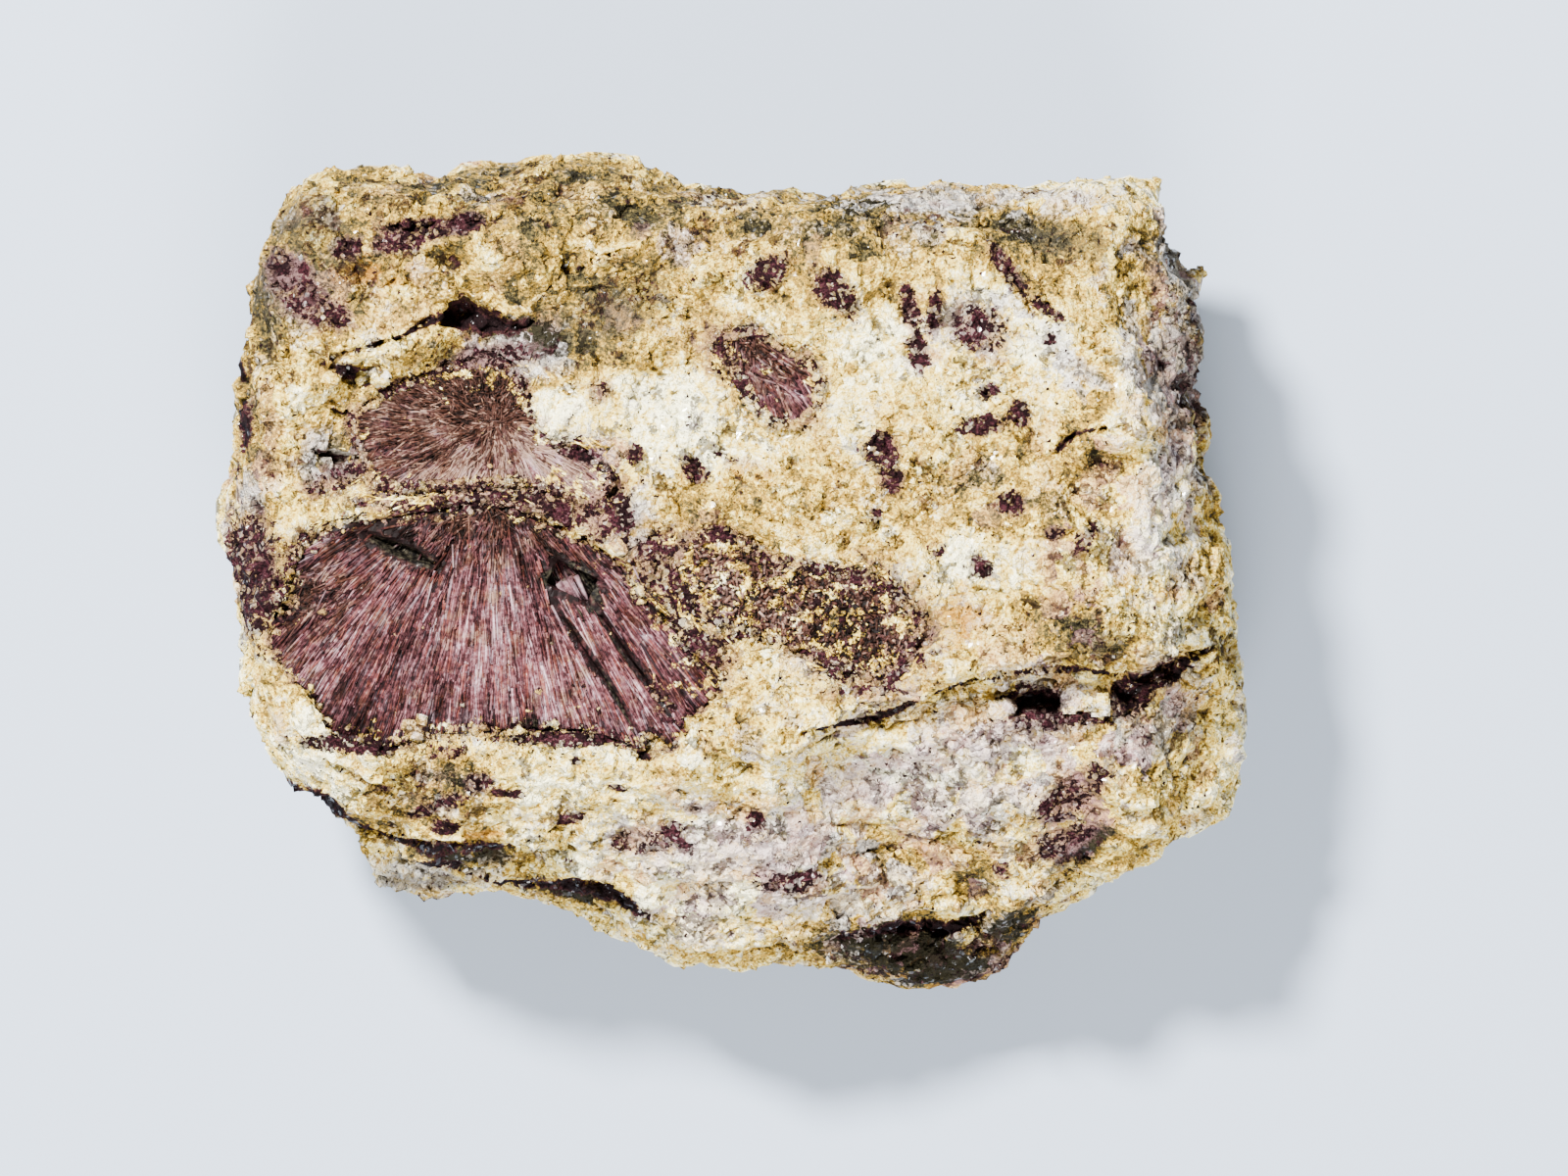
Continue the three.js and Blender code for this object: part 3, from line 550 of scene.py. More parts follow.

# %% [markdown]
# ## The sprays
#
# A spray is a bundle of needles that all started from one point. A bed keeps the form of the CAD lens and
# closes the gap to its pocket. On it lie thousands of thin four-sided needles, each along the line from the
# apex through its middle. Bundles of them lie a little higher or lower, which leaves the grooves, and the
# lower needles are darker as painted shade in them.
# Near the apex they are matted, short and dark, and stray ones lie on the rock around the spray.
#
# Places, lengths and widths are in millimetres, and scatter is in degrees. The areas are oval zones.

# %% Settings of the sprays
SPRAYS = {
    "large_spray": dict(
        apex=(-20.6, 8.6), opening=0.82, scatter=5, grooves=0.75,
        needles=8200, strays=3400, length=(1, 4.4), width=(0.11, 0.27),
        tone=0.33, paling=0.17, brown=0.26, frayed=0.45, flecked=0.6,
        matted={"top": (-20.6, 4.6, 11, 3.4), "left": (-36, -2, 4, 3)},
        rocky={"right edge": (-4.6, -7.5, 3.4, 2.4, -50), "foot": (-22, -14.6, 10, 0.8)},
        pale={"middle": (-20, -8, 7, 4), "right streaks": (-9.6, -8.6, 5.6, 4, -60)},
        dark={
            "matted top": (-24, 3.4, 12, 3), "left": (-37, -3.5, 3, 4.5), "lower left": (-33.5, -11, 3, 2),
            "foot": (-25, -13, 8, 1.8), "right edge": (-4.5, -8.5, 3, 1, -50),
        },
    ),
    "upper_spray": dict(
        apex=(-20.2, 12.6), opening=1, scatter=13, grooves=0.3,
        needles=4200, strays=3000, length=(0.8, 2.5), width=(0.1, 0.22),
        tone=0.38, paling=0.48, brown=0.75, frayed=0.8, flecked=0.6,
        matted={"top": (-20.5, 14.6, 6.5, 3.6)},
        rocky={"top": (-23, 16.4, 6, 2), "white needles": (-15, 8.2, 4, 2.6, -45)},
        pale={"white needles": (-15.6, 8.6, 4, 2.2, -45), "foot": (-22, 8, 3, 1.2)},
        dark={"top": (-22, 15.2, 5.5, 2.4), "left": (-31, 10.5, 2, 3)},
    ),
    "middle_cluster": dict(
        apex=(4, 4), opening=0.9, scatter=40, grooves=0.5,
        needles=1900, strays=1600, length=(0.5, 1.8), width=(0.14, 0.36),
        tone=0.38, paling=0.2, brown=0.45, frayed=0.6, flecked=0.66,
        matted={"all": (5, -3, 30, 30)},
        rocky={"all": (5, -3, 30, 30)},
        pale={"left end": (-3, 0.4, 3, 2)},
        dark={"heart": (9.6, -4.8, 3.6, 3.4)},
    ),
    "small_spray": dict(
        apex=(-0.5, 20.5), opening=1, scatter=15, grooves=0.4,
        needles=900, strays=1500, length=(0.8, 2.6), width=(0.12, 0.26),
        tone=0.32, paling=0.12, brown=0.35, frayed=0.6, flecked=0.3,
        matted={"top": (1, 18.6, 4, 2.4, -38)},
        rocky={"all": (2, 16.4, 8, 6)},
        pale={"foot": (5, 13.5, 2.4, 1.6)},
        dark={"upper side": (3, 19, 3, 1, -30)},
    ),
}
SPLINTER = dict(
    at=(-13.7, -1.7), bearing=-62, length=2.7, needles=16, spread=0.8,
    width=(0.3, 0.5), lift=(0.3, 0.8), tone=0.56, hue=0.9,
)
SHORTEST = 0.2 * MM
HIGHEST_BRIDGE = 0.3 * MM  # how far a needle may stand off the lens
EDGE_LIMIT = 0.75
MATTED_SHORTER, MATTED_SCATTER = 0.6, 30
LIFT_SPREAD, START_SINK, END_RISE = (-0.10, 0.14), 0.08, 0.10
STRAY_REACH, STRAY_STEP = 1.3 * MM, 0.8 * MM
STRAY_LIFT = -0.2
BED_CELL, BED_WIDER = 0.33 * MM, 0.4 * MM
BED_SINK = 0.12
# The first is painted shade: how much a needle's tone rises for each millimetre of lift, so that the grooves
# are darker.
GROOVE_SHADE_PER_MM, TONE_SPREAD, DARKER = 0.6, 0.17, 0.2
print({node: spray["needles"] for node, spray in SPRAYS.items()}, "needles")

# %% [markdown]
# A mesh of thousands of bodies is quick when one small body is made by an operator, and all of its copies are
# then turned, sized and placed as arrays of numbers.


# %% One needle and many copies
def template(make, **settings):
    """Corner places and faces of one small body made by a bmesh operator."""
    body = bmesh.new()
    make(body, **settings)
    bmesh.ops.triangulate(body, faces=body.faces)
    corners = np.array([corner.co[:] for corner in body.verts])
    faces = np.array([[corner.index for corner in face.verts] for face in body.faces])
    body.free()
    return corners, faces


def repeated(name, corners, faces):
    """One mesh from stacks of copies: corners is copies by corners by 3."""
    copies, count = corners.shape[:2]
    every_face = (faces[None] + count * np.arange(copies)[:, None, None]).reshape(-1)
    mesh = bpy.data.meshes.new(name)
    mesh.vertices.add(copies * count)
    mesh.vertices.foreach_set("co", corners.reshape(-1).astype(np.float32))
    mesh.loops.add(len(every_face))
    mesh.loops.foreach_set("vertex_index", every_face.astype(np.int32))
    mesh.polygons.add(len(every_face) // 3)
    mesh.polygons.foreach_set("loop_start", np.arange(0, len(every_face), 3, dtype=np.int32))
    mesh.update(calc_edges=True)
    piece = bpy.data.objects.new(name, mesh)
    bpy.context.collection.objects.link(piece)
    return piece


def bundle_height(bearing, radius, spray):
    """Height in millimetres of the needle bundles at a bearing in radians, wandering a little outwards."""
    ring = Vector((math.cos(bearing) * 7, math.sin(bearing) * 7, radius * 0.03))
    fine = Vector((math.cos(bearing) * 22, math.sin(bearing) * 22, radius * 0.08))
    grooves = min(0.0, noise.noise(ring * 2.3) + 0.12) * 2.2
    return spray["grooves"] * (0.35 * noise.noise(ring) + 0.35 * noise.noise(fine) + 0.5 * grooves)


def bearing_from(spray, x, y):
    """The way a needle runs at a place in metres, and how far it is from the apex in millimetres."""
    across = (x / MM - spray["apex"][0]) * spray["opening"]
    up = y / MM - spray["apex"][1]
    return math.atan2(up, across), math.hypot(across, up)


def heading(bearing):
    return Vector((math.cos(bearing), math.sin(bearing), 0))


rod_corners, rod_faces = template(
    bmesh.ops.create_cone, cap_ends=True, segments=4, radius1=0.5, radius2=0.42, depth=1
)


def needle(start, end, width, roll):
    """The corners of one four-sided needle between two points."""
    axis = (end - start).normalized()
    side = Vector((-axis.y, axis.x, 0)).normalized()
    up = axis.cross(side)
    across = (side * math.cos(roll) + up * math.sin(roll)) * width * MM
    over = (up * math.cos(roll) - side * math.sin(roll)) * width * MM
    box = np.array([across[:], over[:], (end - start)[:]])
    return rod_corners @ box + np.array(((start + end) / 2)[:])


print("needle", len(rod_corners), "corners,", len(rod_faces), "faces")

# %% [markdown]
# Each needle is dropped on the lens at random, turned away from the apex and cut short at the outline. One
# that would bridge a groove is left out. A needle's tone goes with its lift, which paints shade into the
# grooves: the lower a needle lies, the darker it is.


# %% Needles of the sprays
def rock_height(x, y):
    return height_at(rock_tree, x, y) or 0.0


def reach_on(lens, x, y, way, length):
    """How much of a length, laid from a place along a way, stays on the lens."""
    while length > SHORTEST and lens.height(x + way.x * length, y + way.y * length) is None:
        length *= 0.8
    return length


def lay_needles(lens, spray, roller):
    """Needles on the lens, each with its corners, its lift in millimetres and its place."""
    laid = []
    while len(laid) < spray["needles"]:
        x, y = lens.random_spot(roller)
        if lens.height(x, y) is None or lens.edge_share(x, y) * roller.random() > EDGE_LIMIT:
            continue
        bearing, radius = bearing_from(spray, x, y)
        matted = zone_field(np.array([(x, y)]), spray["matted"])[0]
        length = roller.uniform(*spray["length"]) * (1 - MATTED_SHORTER * matted)
        width = roller.uniform(*spray["width"])
        scatter = spray["scatter"] + MATTED_SCATTER * matted**2
        way = heading(bearing + math.radians(roller.gauss(0, scatter)))
        start = Vector((x, y, 0)) - way * reach_on(lens, x, y, -way, length / 2 * MM)
        end = Vector((x, y, 0)) + way * reach_on(lens, x, y, way, length / 2 * MM)
        ground = [lens.height(*start.lerp(end, share).xy) for share in (0, 0.25, 0.5, 0.75, 1)]
        if None in ground:
            continue
        bridge = max(abs(ground[0] + (ground[4] - ground[0]) * k / 4 - ground[k]) for k in (1, 2, 3))
        if bridge > HIGHEST_BRIDGE:
            continue
        lift = bundle_height(bearing, radius, spray) + roller.uniform(*LIFT_SPREAD)
        start.z = ground[0] + MM * (lift - roller.random() * START_SINK)
        end.z = ground[4] + MM * (lift + roller.random() * END_RISE)
        laid.append((needle(start, end, width, roller.uniform(0, math.pi / 2)), lift, (x, y)))
    return laid


def lay_strays(lens, spray, roller):
    """Needles that lie on the rock just outside the lens, and fray the outline of the spray."""
    laid = []
    for _ in range(spray["strays"]):
        x, y = lens.random_spot(roller)
        near = lens.tree.find_nearest(Vector((x, y, rock_height(x, y))), STRAY_REACH)[3]
        if lens.height(x, y) is not None or near is None:
            continue
        bearing, _ = bearing_from(spray, x, y)
        way = heading(bearing + math.radians(roller.gauss(0, 2 * spray["scatter"] + 8)))
        half = way * roller.uniform(0.3, 1.1) * MM
        start, end = Vector((x, y, 0)) - half, Vector((x, y, 0)) + half
        start.z, end.z = rock_height(*start.xy), rock_height(*end.xy)
        if abs(start.z - end.z) > STRAY_STEP:
            continue
        corners = needle(start, end, roller.uniform(*spray["width"]), roller.uniform(0, math.pi / 2))
        laid.append((corners, STRAY_LIFT, (x, y)))
    return laid


def lay_splinter(lens, roller):
    """The corners of the pale bundle of thicker needles that lies in the notch."""
    laid = []
    for _ in range(SPLINTER["needles"]):
        way = heading(math.radians(SPLINTER["bearing"] + roller.gauss(0, 3)))
        aside = Vector((-way.y, way.x, 0)) * roller.uniform(-1, 1) * SPLINTER["spread"] * MM
        middle = Vector((*SPLINTER["at"], 0)) * MM + aside
        middle.z = lens.height(middle.x, middle.y) + roller.uniform(*SPLINTER["lift"]) * MM
        half = way * SPLINTER["length"] / 2 * MM * roller.uniform(0.8, 1)
        laid.append(needle(middle - half, middle + half, roller.uniform(*SPLINTER["width"]), roller.random()))
    return laid


def spray_bed(node, spray):
    """The body under the needles. It is wider than the lens, so that it closes the gap to the pocket."""
    bed = remeshed(node, BED_CELL)
    for corner in bed.verts:
        bearing, radius = bearing_from(spray, corner.co.x, corner.co.y)
        corner.co += Vector((corner.normal.x, corner.normal.y, 0)) * BED_WIDER
        if corner.normal.z > 0.3:
            corner.co.z += MM * (bundle_height(bearing, radius, spray) - BED_SINK)
    mesh = bpy.data.meshes.new(node)
    bed.to_mesh(mesh)
    bed.free()
    return mesh


def make_spray(node, spray):
    """The bed and the needles of one spray, joined in one piece."""
    lens = lenses[node]
    roller = random.Random(spray["needles"])
    laid = lay_needles(lens, spray, roller)
    laid += lay_strays(lens, spray, roller)
    copies, lifts, middles = (list(part) for part in zip(*laid))
    chance = np.random.default_rng(spray["needles"])
    # Painted shade: a needle that lies lower in a groove gets a darker tone.
    tones = spray["tone"] + GROOVE_SHADE_PER_MM * np.array(lifts) + chance.normal(0, TONE_SPREAD, len(lifts))
    pale, dark = (zone_field(np.array(middles), spray[name]) for name in ("pale", "dark"))
    tones = list(np.clip(tones + (spray["paling"] * pale - DARKER * dark), 0, 1))
    hues = list(chance.random(len(lifts)))
    if node == "large_spray":
        copies += lay_splinter(lens, roller)
        tones += [SPLINTER["tone"]] * SPLINTER["needles"]
        hues += [SPLINTER["hue"]] * SPLINTER["needles"]

    piece = repeated(node + "_needles", np.array(copies), rod_faces)
    bed_mesh = spray_bed(node, spray)
    joined = bmesh.new()
    joined.from_mesh(piece.data)
    needle_corners = len(joined.verts)
    joined.from_mesh(bed_mesh)
    joined.to_mesh(piece.data)
    joined.free()
    bpy.data.meshes.remove(bed_mesh)

    for name, values, bed_value in (("tone", tones, 0.0), ("hue", hues, 0.5)):
        every_value = np.full(len(piece.data.vertices), bed_value)
        every_value[:needle_corners] = np.repeat(values, len(rod_corners))
        store(piece.data, name, every_value)
    places = places_of(piece.data)
    frayed = spray["frayed"] * np.array([lens.edge_share(x, y) for x, y in places[:, :2]])
    store(piece.data, "flecks", frayed + spray["flecked"] * zone_field(places, spray["rocky"]))
    store(piece.data, "brown", spray["brown"] + 0.5 * zone_field(places, spray["matted"]))
    # Painted shade in the grooves and the notch of the sprays.
    store(piece.data, "black", patch_field(places, BLACK_PATCHES))
    print(node, len(copies), "needles,", len(piece.data.polygons), "faces")
    return piece


sprays = {node: make_spray(node, spray) for node, spray in SPRAYS.items()}

# %% [markdown]
# ## Grains
#
# Under a lens the break is a crust of small angular grains that stand half out of the rock and throw their
# own small shadows. They are real meshes here: one small cube, its corners pushed about, is repeated over the
# upward faces, turned at random and sunk a little. Few lie on the sprays, but many on the mottled cluster,
# where rock and needles grew through each other.

# %% A crust of grains
GRAIN_COUNT = 12600
GRAINS_KEPT = dict(rock=1.0, large_spray=0.02, upper_spray=0.1, middle_cluster=0.45, small_spray=0.1)
LOWEST_GRAIN = 10 * MM
STEEPEST_NORMAL = 0.1
GRAIN_SIDES = (1, 0.85, 0.7)
grain_corners, grain_faces = template(bmesh.ops.create_cube, size=0.8)
dice = random.Random(11)
chance = np.random.default_rng(5)
settled = bpy.context.evaluated_depsgraph_get()
trees = {"rock": BVHTree.FromObject(rock, settled)}
trees.update({node: BVHTree.FromObject(piece, settled) for node, piece in sprays.items()})


def random_turn():
    return np.linalg.qr(chance.normal(size=(3, 3)))[0]


def crumb(turn, size, unevenness, sides):
    """The corners of one angular body, its size in metres."""
    jitter = 1 + unevenness * (chance.random(grain_corners.shape) - 0.5)
    return (grain_corners * jitter * sides) @ turn * size


def highest(x, y):
    """Height of the rock or the needles at a place in metres, whichever lies on top."""
    heights = [height_at(tree, x, y) for tree in trees.values()]
    return max(height for height in heights if height is not None)


grain_copies = []
grain_tones = []
while len(grain_copies) < GRAIN_COUNT:
    x, y = dice.uniform(cad_low.x, cad_high.x), dice.uniform(cad_low.y, cad_high.y)
    hits = {name: landing(tree, x, y) for name, tree in trees.items()}
    hits = {name: hit for name, hit in hits.items() if hit[0] is not None}
    if not hits:
        continue
    under = max(hits, key=lambda name: hits[name][0].z)
    place, normal = hits[under]
    if dice.random() > GRAINS_KEPT[under] or normal.z < STEEPEST_NORMAL or place.z < LOWEST_GRAIN:
        continue
    size = MM * (0.4 + 1.2 * dice.random() ** 4) * (1.0 if under == "rock" else 0.6)
    if not all(cad_low[k] + size < place[k] < cad_high[k] - size for k in range(3)):
        continue
    body = crumb(random_turn(), size, 0.6, GRAIN_SIDES)
    grain_copies.append(body + np.array(place - normal * 0.25 * size))
    grain_tones.append(dice.random())
print("crust", len(grain_copies), "grains")

# %% [markdown]
# Rock and needles grew into each other where they meet, so more grains lie along the outline of each spray.
# They also hide the bare seam between the two. A spot is on the outline when only some of the spots around
# it are over the spray.

# %% Grains along the seams
SEAM_GRAINS = {"large_spray": 350, "upper_spray": 1200, "middle_cluster": 1300, "small_spray": 800}
SEAM_REACH = 0.5 * MM
SEAM_RING = [(SEAM_REACH * math.cos(k * 1.05), SEAM_REACH * math.sin(k * 1.05)) for k in range(6)]
for node, count in SEAM_GRAINS.items():
    lens = lenses[node]
    placed = 0
    while placed < count:
        x, y = lens.random_spot(dice, SEAM_REACH)
        met = [lens.height(x + right, y + up) is not None for right, up in SEAM_RING]
        if all(met) or not any(met):
            continue
        size = MM * dice.uniform(0.35, 1.0)
        body = crumb(random_turn(), size, 0.6, GRAIN_SIDES)
        grain_copies.append(body + np.array([x, y, highest(x, y) - 0.15 * size]))
        grain_tones.append(dice.random())
        placed += 1
print("seams", sum(SEAM_GRAINS.values()), "grains")

# %% [markdown]
# A few lumps and crystals are big enough to be told apart: quartz under the slab and at the foot of the large
# spray, and cream lumps and a lilac crystal in the cleft on the right. Each is a knot of larger bodies that
# share one turn. They are clean, so the colours and the painted shade of the gap that they stand in are taken
# off them.

# %% Lumps and crystals
LUMPS = {  # x, y and radius in millimetres, and how white it is
    "quartz grain at the foot of the spray": (-27.1, -13.2, 0.85, -0.4),
    "quartz under the slab": (-31.2, 16.6, 1, 0.2), "quartz under the slab, low": (-29.9, 16.2, 0.8, 0.2),
    "cream lump in the recess": (28.6, -10.6, 1.3, 0.5), "second lump in the recess": (30.6, -11.3, 1, 0.4),
    "lump left of the recess": (22.2, -11.7, 1.1, 0.4), "white lump at the corner": (41.6, -15, 1.3, 0.8),
    "lilac crystal, upper end": (38, -8.7, 0.6, 0), "lilac crystal, middle": (38.8, -9.1, 0.6, 0),
    "lilac crystal, lower end": (39.6, -9.6, 0.6, 0),
}
LUMP_BODIES = 9
LUMP_LOOK = {"black": -1, "plum": -1, "mottled": -1, "soot": 0, "shade": 0, "grime": 0, "quartz": 0.6}
lumps_start = len(grain_copies) * len(grain_corners)
for x, y, radius, _ in LUMPS.values():
    turn = random_turn()
    middle = np.array([x * MM, y * MM, highest(x * MM, y * MM) + 0.1 * radius * MM])
    for _ in range(LUMP_BODIES):
        shift = chance.normal(0, 0.35, 3) * radius * MM
        grain_copies.append(crumb(turn, radius * 1.2 * MM, 0.5, (1, 1, 1)) + middle + shift * [1, 1, 0.5])
        grain_tones.append(0.75 + 0.25 * dice.random())
grains = repeated("grains", np.array(grain_copies), grain_faces)
paint_rock(grains.data)
lump_whites = np.repeat([white for *_, white in LUMPS.values()], LUMP_BODIES * len(grain_corners))
for name, value in {**LUMP_LOOK, "white": lump_whites}.items():
    kept = np.empty(len(grains.data.vertices), dtype=np.float32)
    grains.data.attributes[name].data.foreach_get("value", kept)
    kept[lumps_start:] = value
    grains.data.attributes[name].data.foreach_set("value", kept)
store(grains.data, "cavity", np.full(len(grains.data.vertices), -0.05))
store(grains.data, "grain", np.repeat(grain_tones, len(grain_corners)))
print("grains", len(grains.data.polygons), "faces")

# %% [markdown]
# ## Materials
#
# A recipe is easier to read as arithmetic than as a net of nodes, so a small class wraps each socket and
# adds a Math node for every sign.


# %% Shader arithmetic
class Wire:
    """One value, vector or colour that runs through a material."""

    def __init__(self, socket):
        self.socket = socket
        self.tree = socket.id_data

    def node(self, kind, settings, inputs):
        """Adds any node: its type, then its settings, then its inputs."""
        return add_node(self.tree, kind, settings, inputs)

    def math(self, operation, *values):
        return Wire(self.node("ShaderNodeMath", {"operation": operation}, dict(enumerate(values))).outputs[0])

    def pair(operation):
        """A sign with the wire on its left, and the reflected one with the wire on its right."""
        return (
            lambda self, other: self.math(operation, self, other),
            lambda self, other: self.math(operation, other, self),
        )

    __add__, __radd__ = pair("ADD")
    __sub__, __rsub__ = pair("SUBTRACT")
    __mul__, __rmul__ = pair("MULTIPLY")
    larger, _ = pair("MAXIMUM")
    smaller, _ = pair("MINIMUM")

    def swing(self, reach):
        """Centres a value from 0 to 1 on 0, and stretches it to this reach."""
        return (self - 0.5) * reach

    def step(self, low, high):
        """Rises smoothly from 0 to 1 between low and high."""
        ramp = self.node(
            "ShaderNodeMapRange",
            {"interpolation_type": "SMOOTHSTEP"},
            {"Value": self, "From Min": low, "From Max": high},
        )
        return Wire(ramp.outputs["Result"])

    def over(self, under, share):
        """This colour laid over another one by a share from 0 to 1."""
        mix = self.node("ShaderNodeMix", {"data_type": "RGBA"}, {0: share, 6: under, 7: self})
        return Wire(mix.outputs[2])


def add_node(tree, kind, settings, inputs):
    made = tree.nodes.new(kind)
    for name, value in settings.items():
        setattr(made, name, value)
    for key, value in inputs.items():
        if isinstance(value, Wire):
            tree.links.new(value.socket, made.inputs[key])
        else:
            made.inputs[key].default_value = value
    return made


def new_material(name):
    """An empty material with its principled shader, and its Object coordinates."""
    material = bpy.data.materials.new(name)
    material.use_nodes = True
    tree = material.node_tree
    shader = tree.nodes["Principled BSDF"]
    place = Wire(add_node(tree, "ShaderNodeTexCoord", {}, {}).outputs["Object"])
    return material, tree, shader, place


def feed(tree, shader, **values):
    """Sets or links the shader's sockets, each named with _ for a space."""
    for name, value in values.items():
        socket = shader.inputs[name.replace("_", " ")]
        if isinstance(value, Wire):
            tree.links.new(value.socket, socket)
        else:
            socket.default_value = value


def colour(tree, red, green, blue):
    """A colour from the values that a picture editor shows."""
    linear = [((part / 255 + 0.055) / 1.055) ** 2.4 for part in (red, green, blue)]
    made = add_node(tree, "ShaderNodeRGB", {}, {})
    made.outputs[0].default_value = (*linear, 1)
    return Wire(made.outputs[0])


def shades(value, first, *others):
    """Colours that follow each other as a value rises: each later one comes in between its two limits."""
    made = colour(value.tree, *first)
    for parts, low, high in others:
        made = colour(value.tree, *parts).over(made, value.step(low, high))
    return made


def attributes(tree, *names):
    """The numbers that are stored on the mesh under these names."""
    for name in names:
        settings = {"attribute_type": "GEOMETRY", "attribute_name": name}
        yield Wire(add_node(tree, "ShaderNodeAttribute", settings, {}).outputs["Fac"])


def cloud(place, size, detail=2, roughness=0.5):
    """Cloudy noise from 0 to 1, with lumps of about this size in millimetres."""
    inputs = {"Vector": place, "Scale": 1 / (size * MM), "Detail": detail, "Roughness": roughness}
    return Wire(place.node("ShaderNodeTexNoise", {}, inputs).outputs["Fac"])


def cells(place, size, output):
    """Cell noise, with cells of about this size in millimetres."""
    inputs = {"Vector": place, "Scale": 1 / (size * MM)}
    return Wire(place.node("ShaderNodeTexVoronoi", {}, inputs).outputs[output])


def crooked(place, size, reach):
    """The place pushed about by noise, which makes the edges of cells crooked. Both sizes in millimetres."""
    push = place.node("ShaderNodeTexNoise", {}, {"Vector": place, "Scale": 1 / (size * MM), "Detail": 2})
    moved = place.node(
        "ShaderNodeVectorMath",
        {"operation": "MULTIPLY_ADD"},
        {0: Wire(push.outputs["Color"]), 1: (reach * MM,) * 3, 2: place},
    )
    return Wire(moved.outputs["Vector"])


def channel(wire, name):
    """One part of a colour as a value."""
    return Wire(wire.node("ShaderNodeSeparateColor", {}, {"Color": wire}).outputs[name])


print("arithmetic", [name for name in vars(Wire) if not name.startswith("_")])

# %% [markdown]
# The rock's recipe has one main axis: how stained and how shaded a grain is. Clean feldspar is white, then
# come cream, ochre and olive brown, and the same axis carries painted shade, darker in hollows and on the
# undercuts and lighter on ridges. Noise at the size of the grains moves every spot up or down that axis, and
# the zones shift whole areas. Quartz greys it, painted shadow darkens the gaps between the grains, and the
# dumortierite comes last. Every layer's edge is broken by noise of the same grain, so that no outline of a
# zone shows.


# %% Rock
def rock_colour(lightness):
    """The colours of the stained feldspar, from brown grime and painted shade at 0 to white at 1."""
    return shades(
        lightness,
        (24, 21, 12),
        ((62, 56, 34), -0.15, 0.05),
        ((112, 92, 44), 0.05, 0.22),
        ((166, 128, 40), 0.18, 0.38),
        ((224, 196, 98), 0.34, 0.58),
        ((255, 250, 205), 0.58, 0.94),
    )


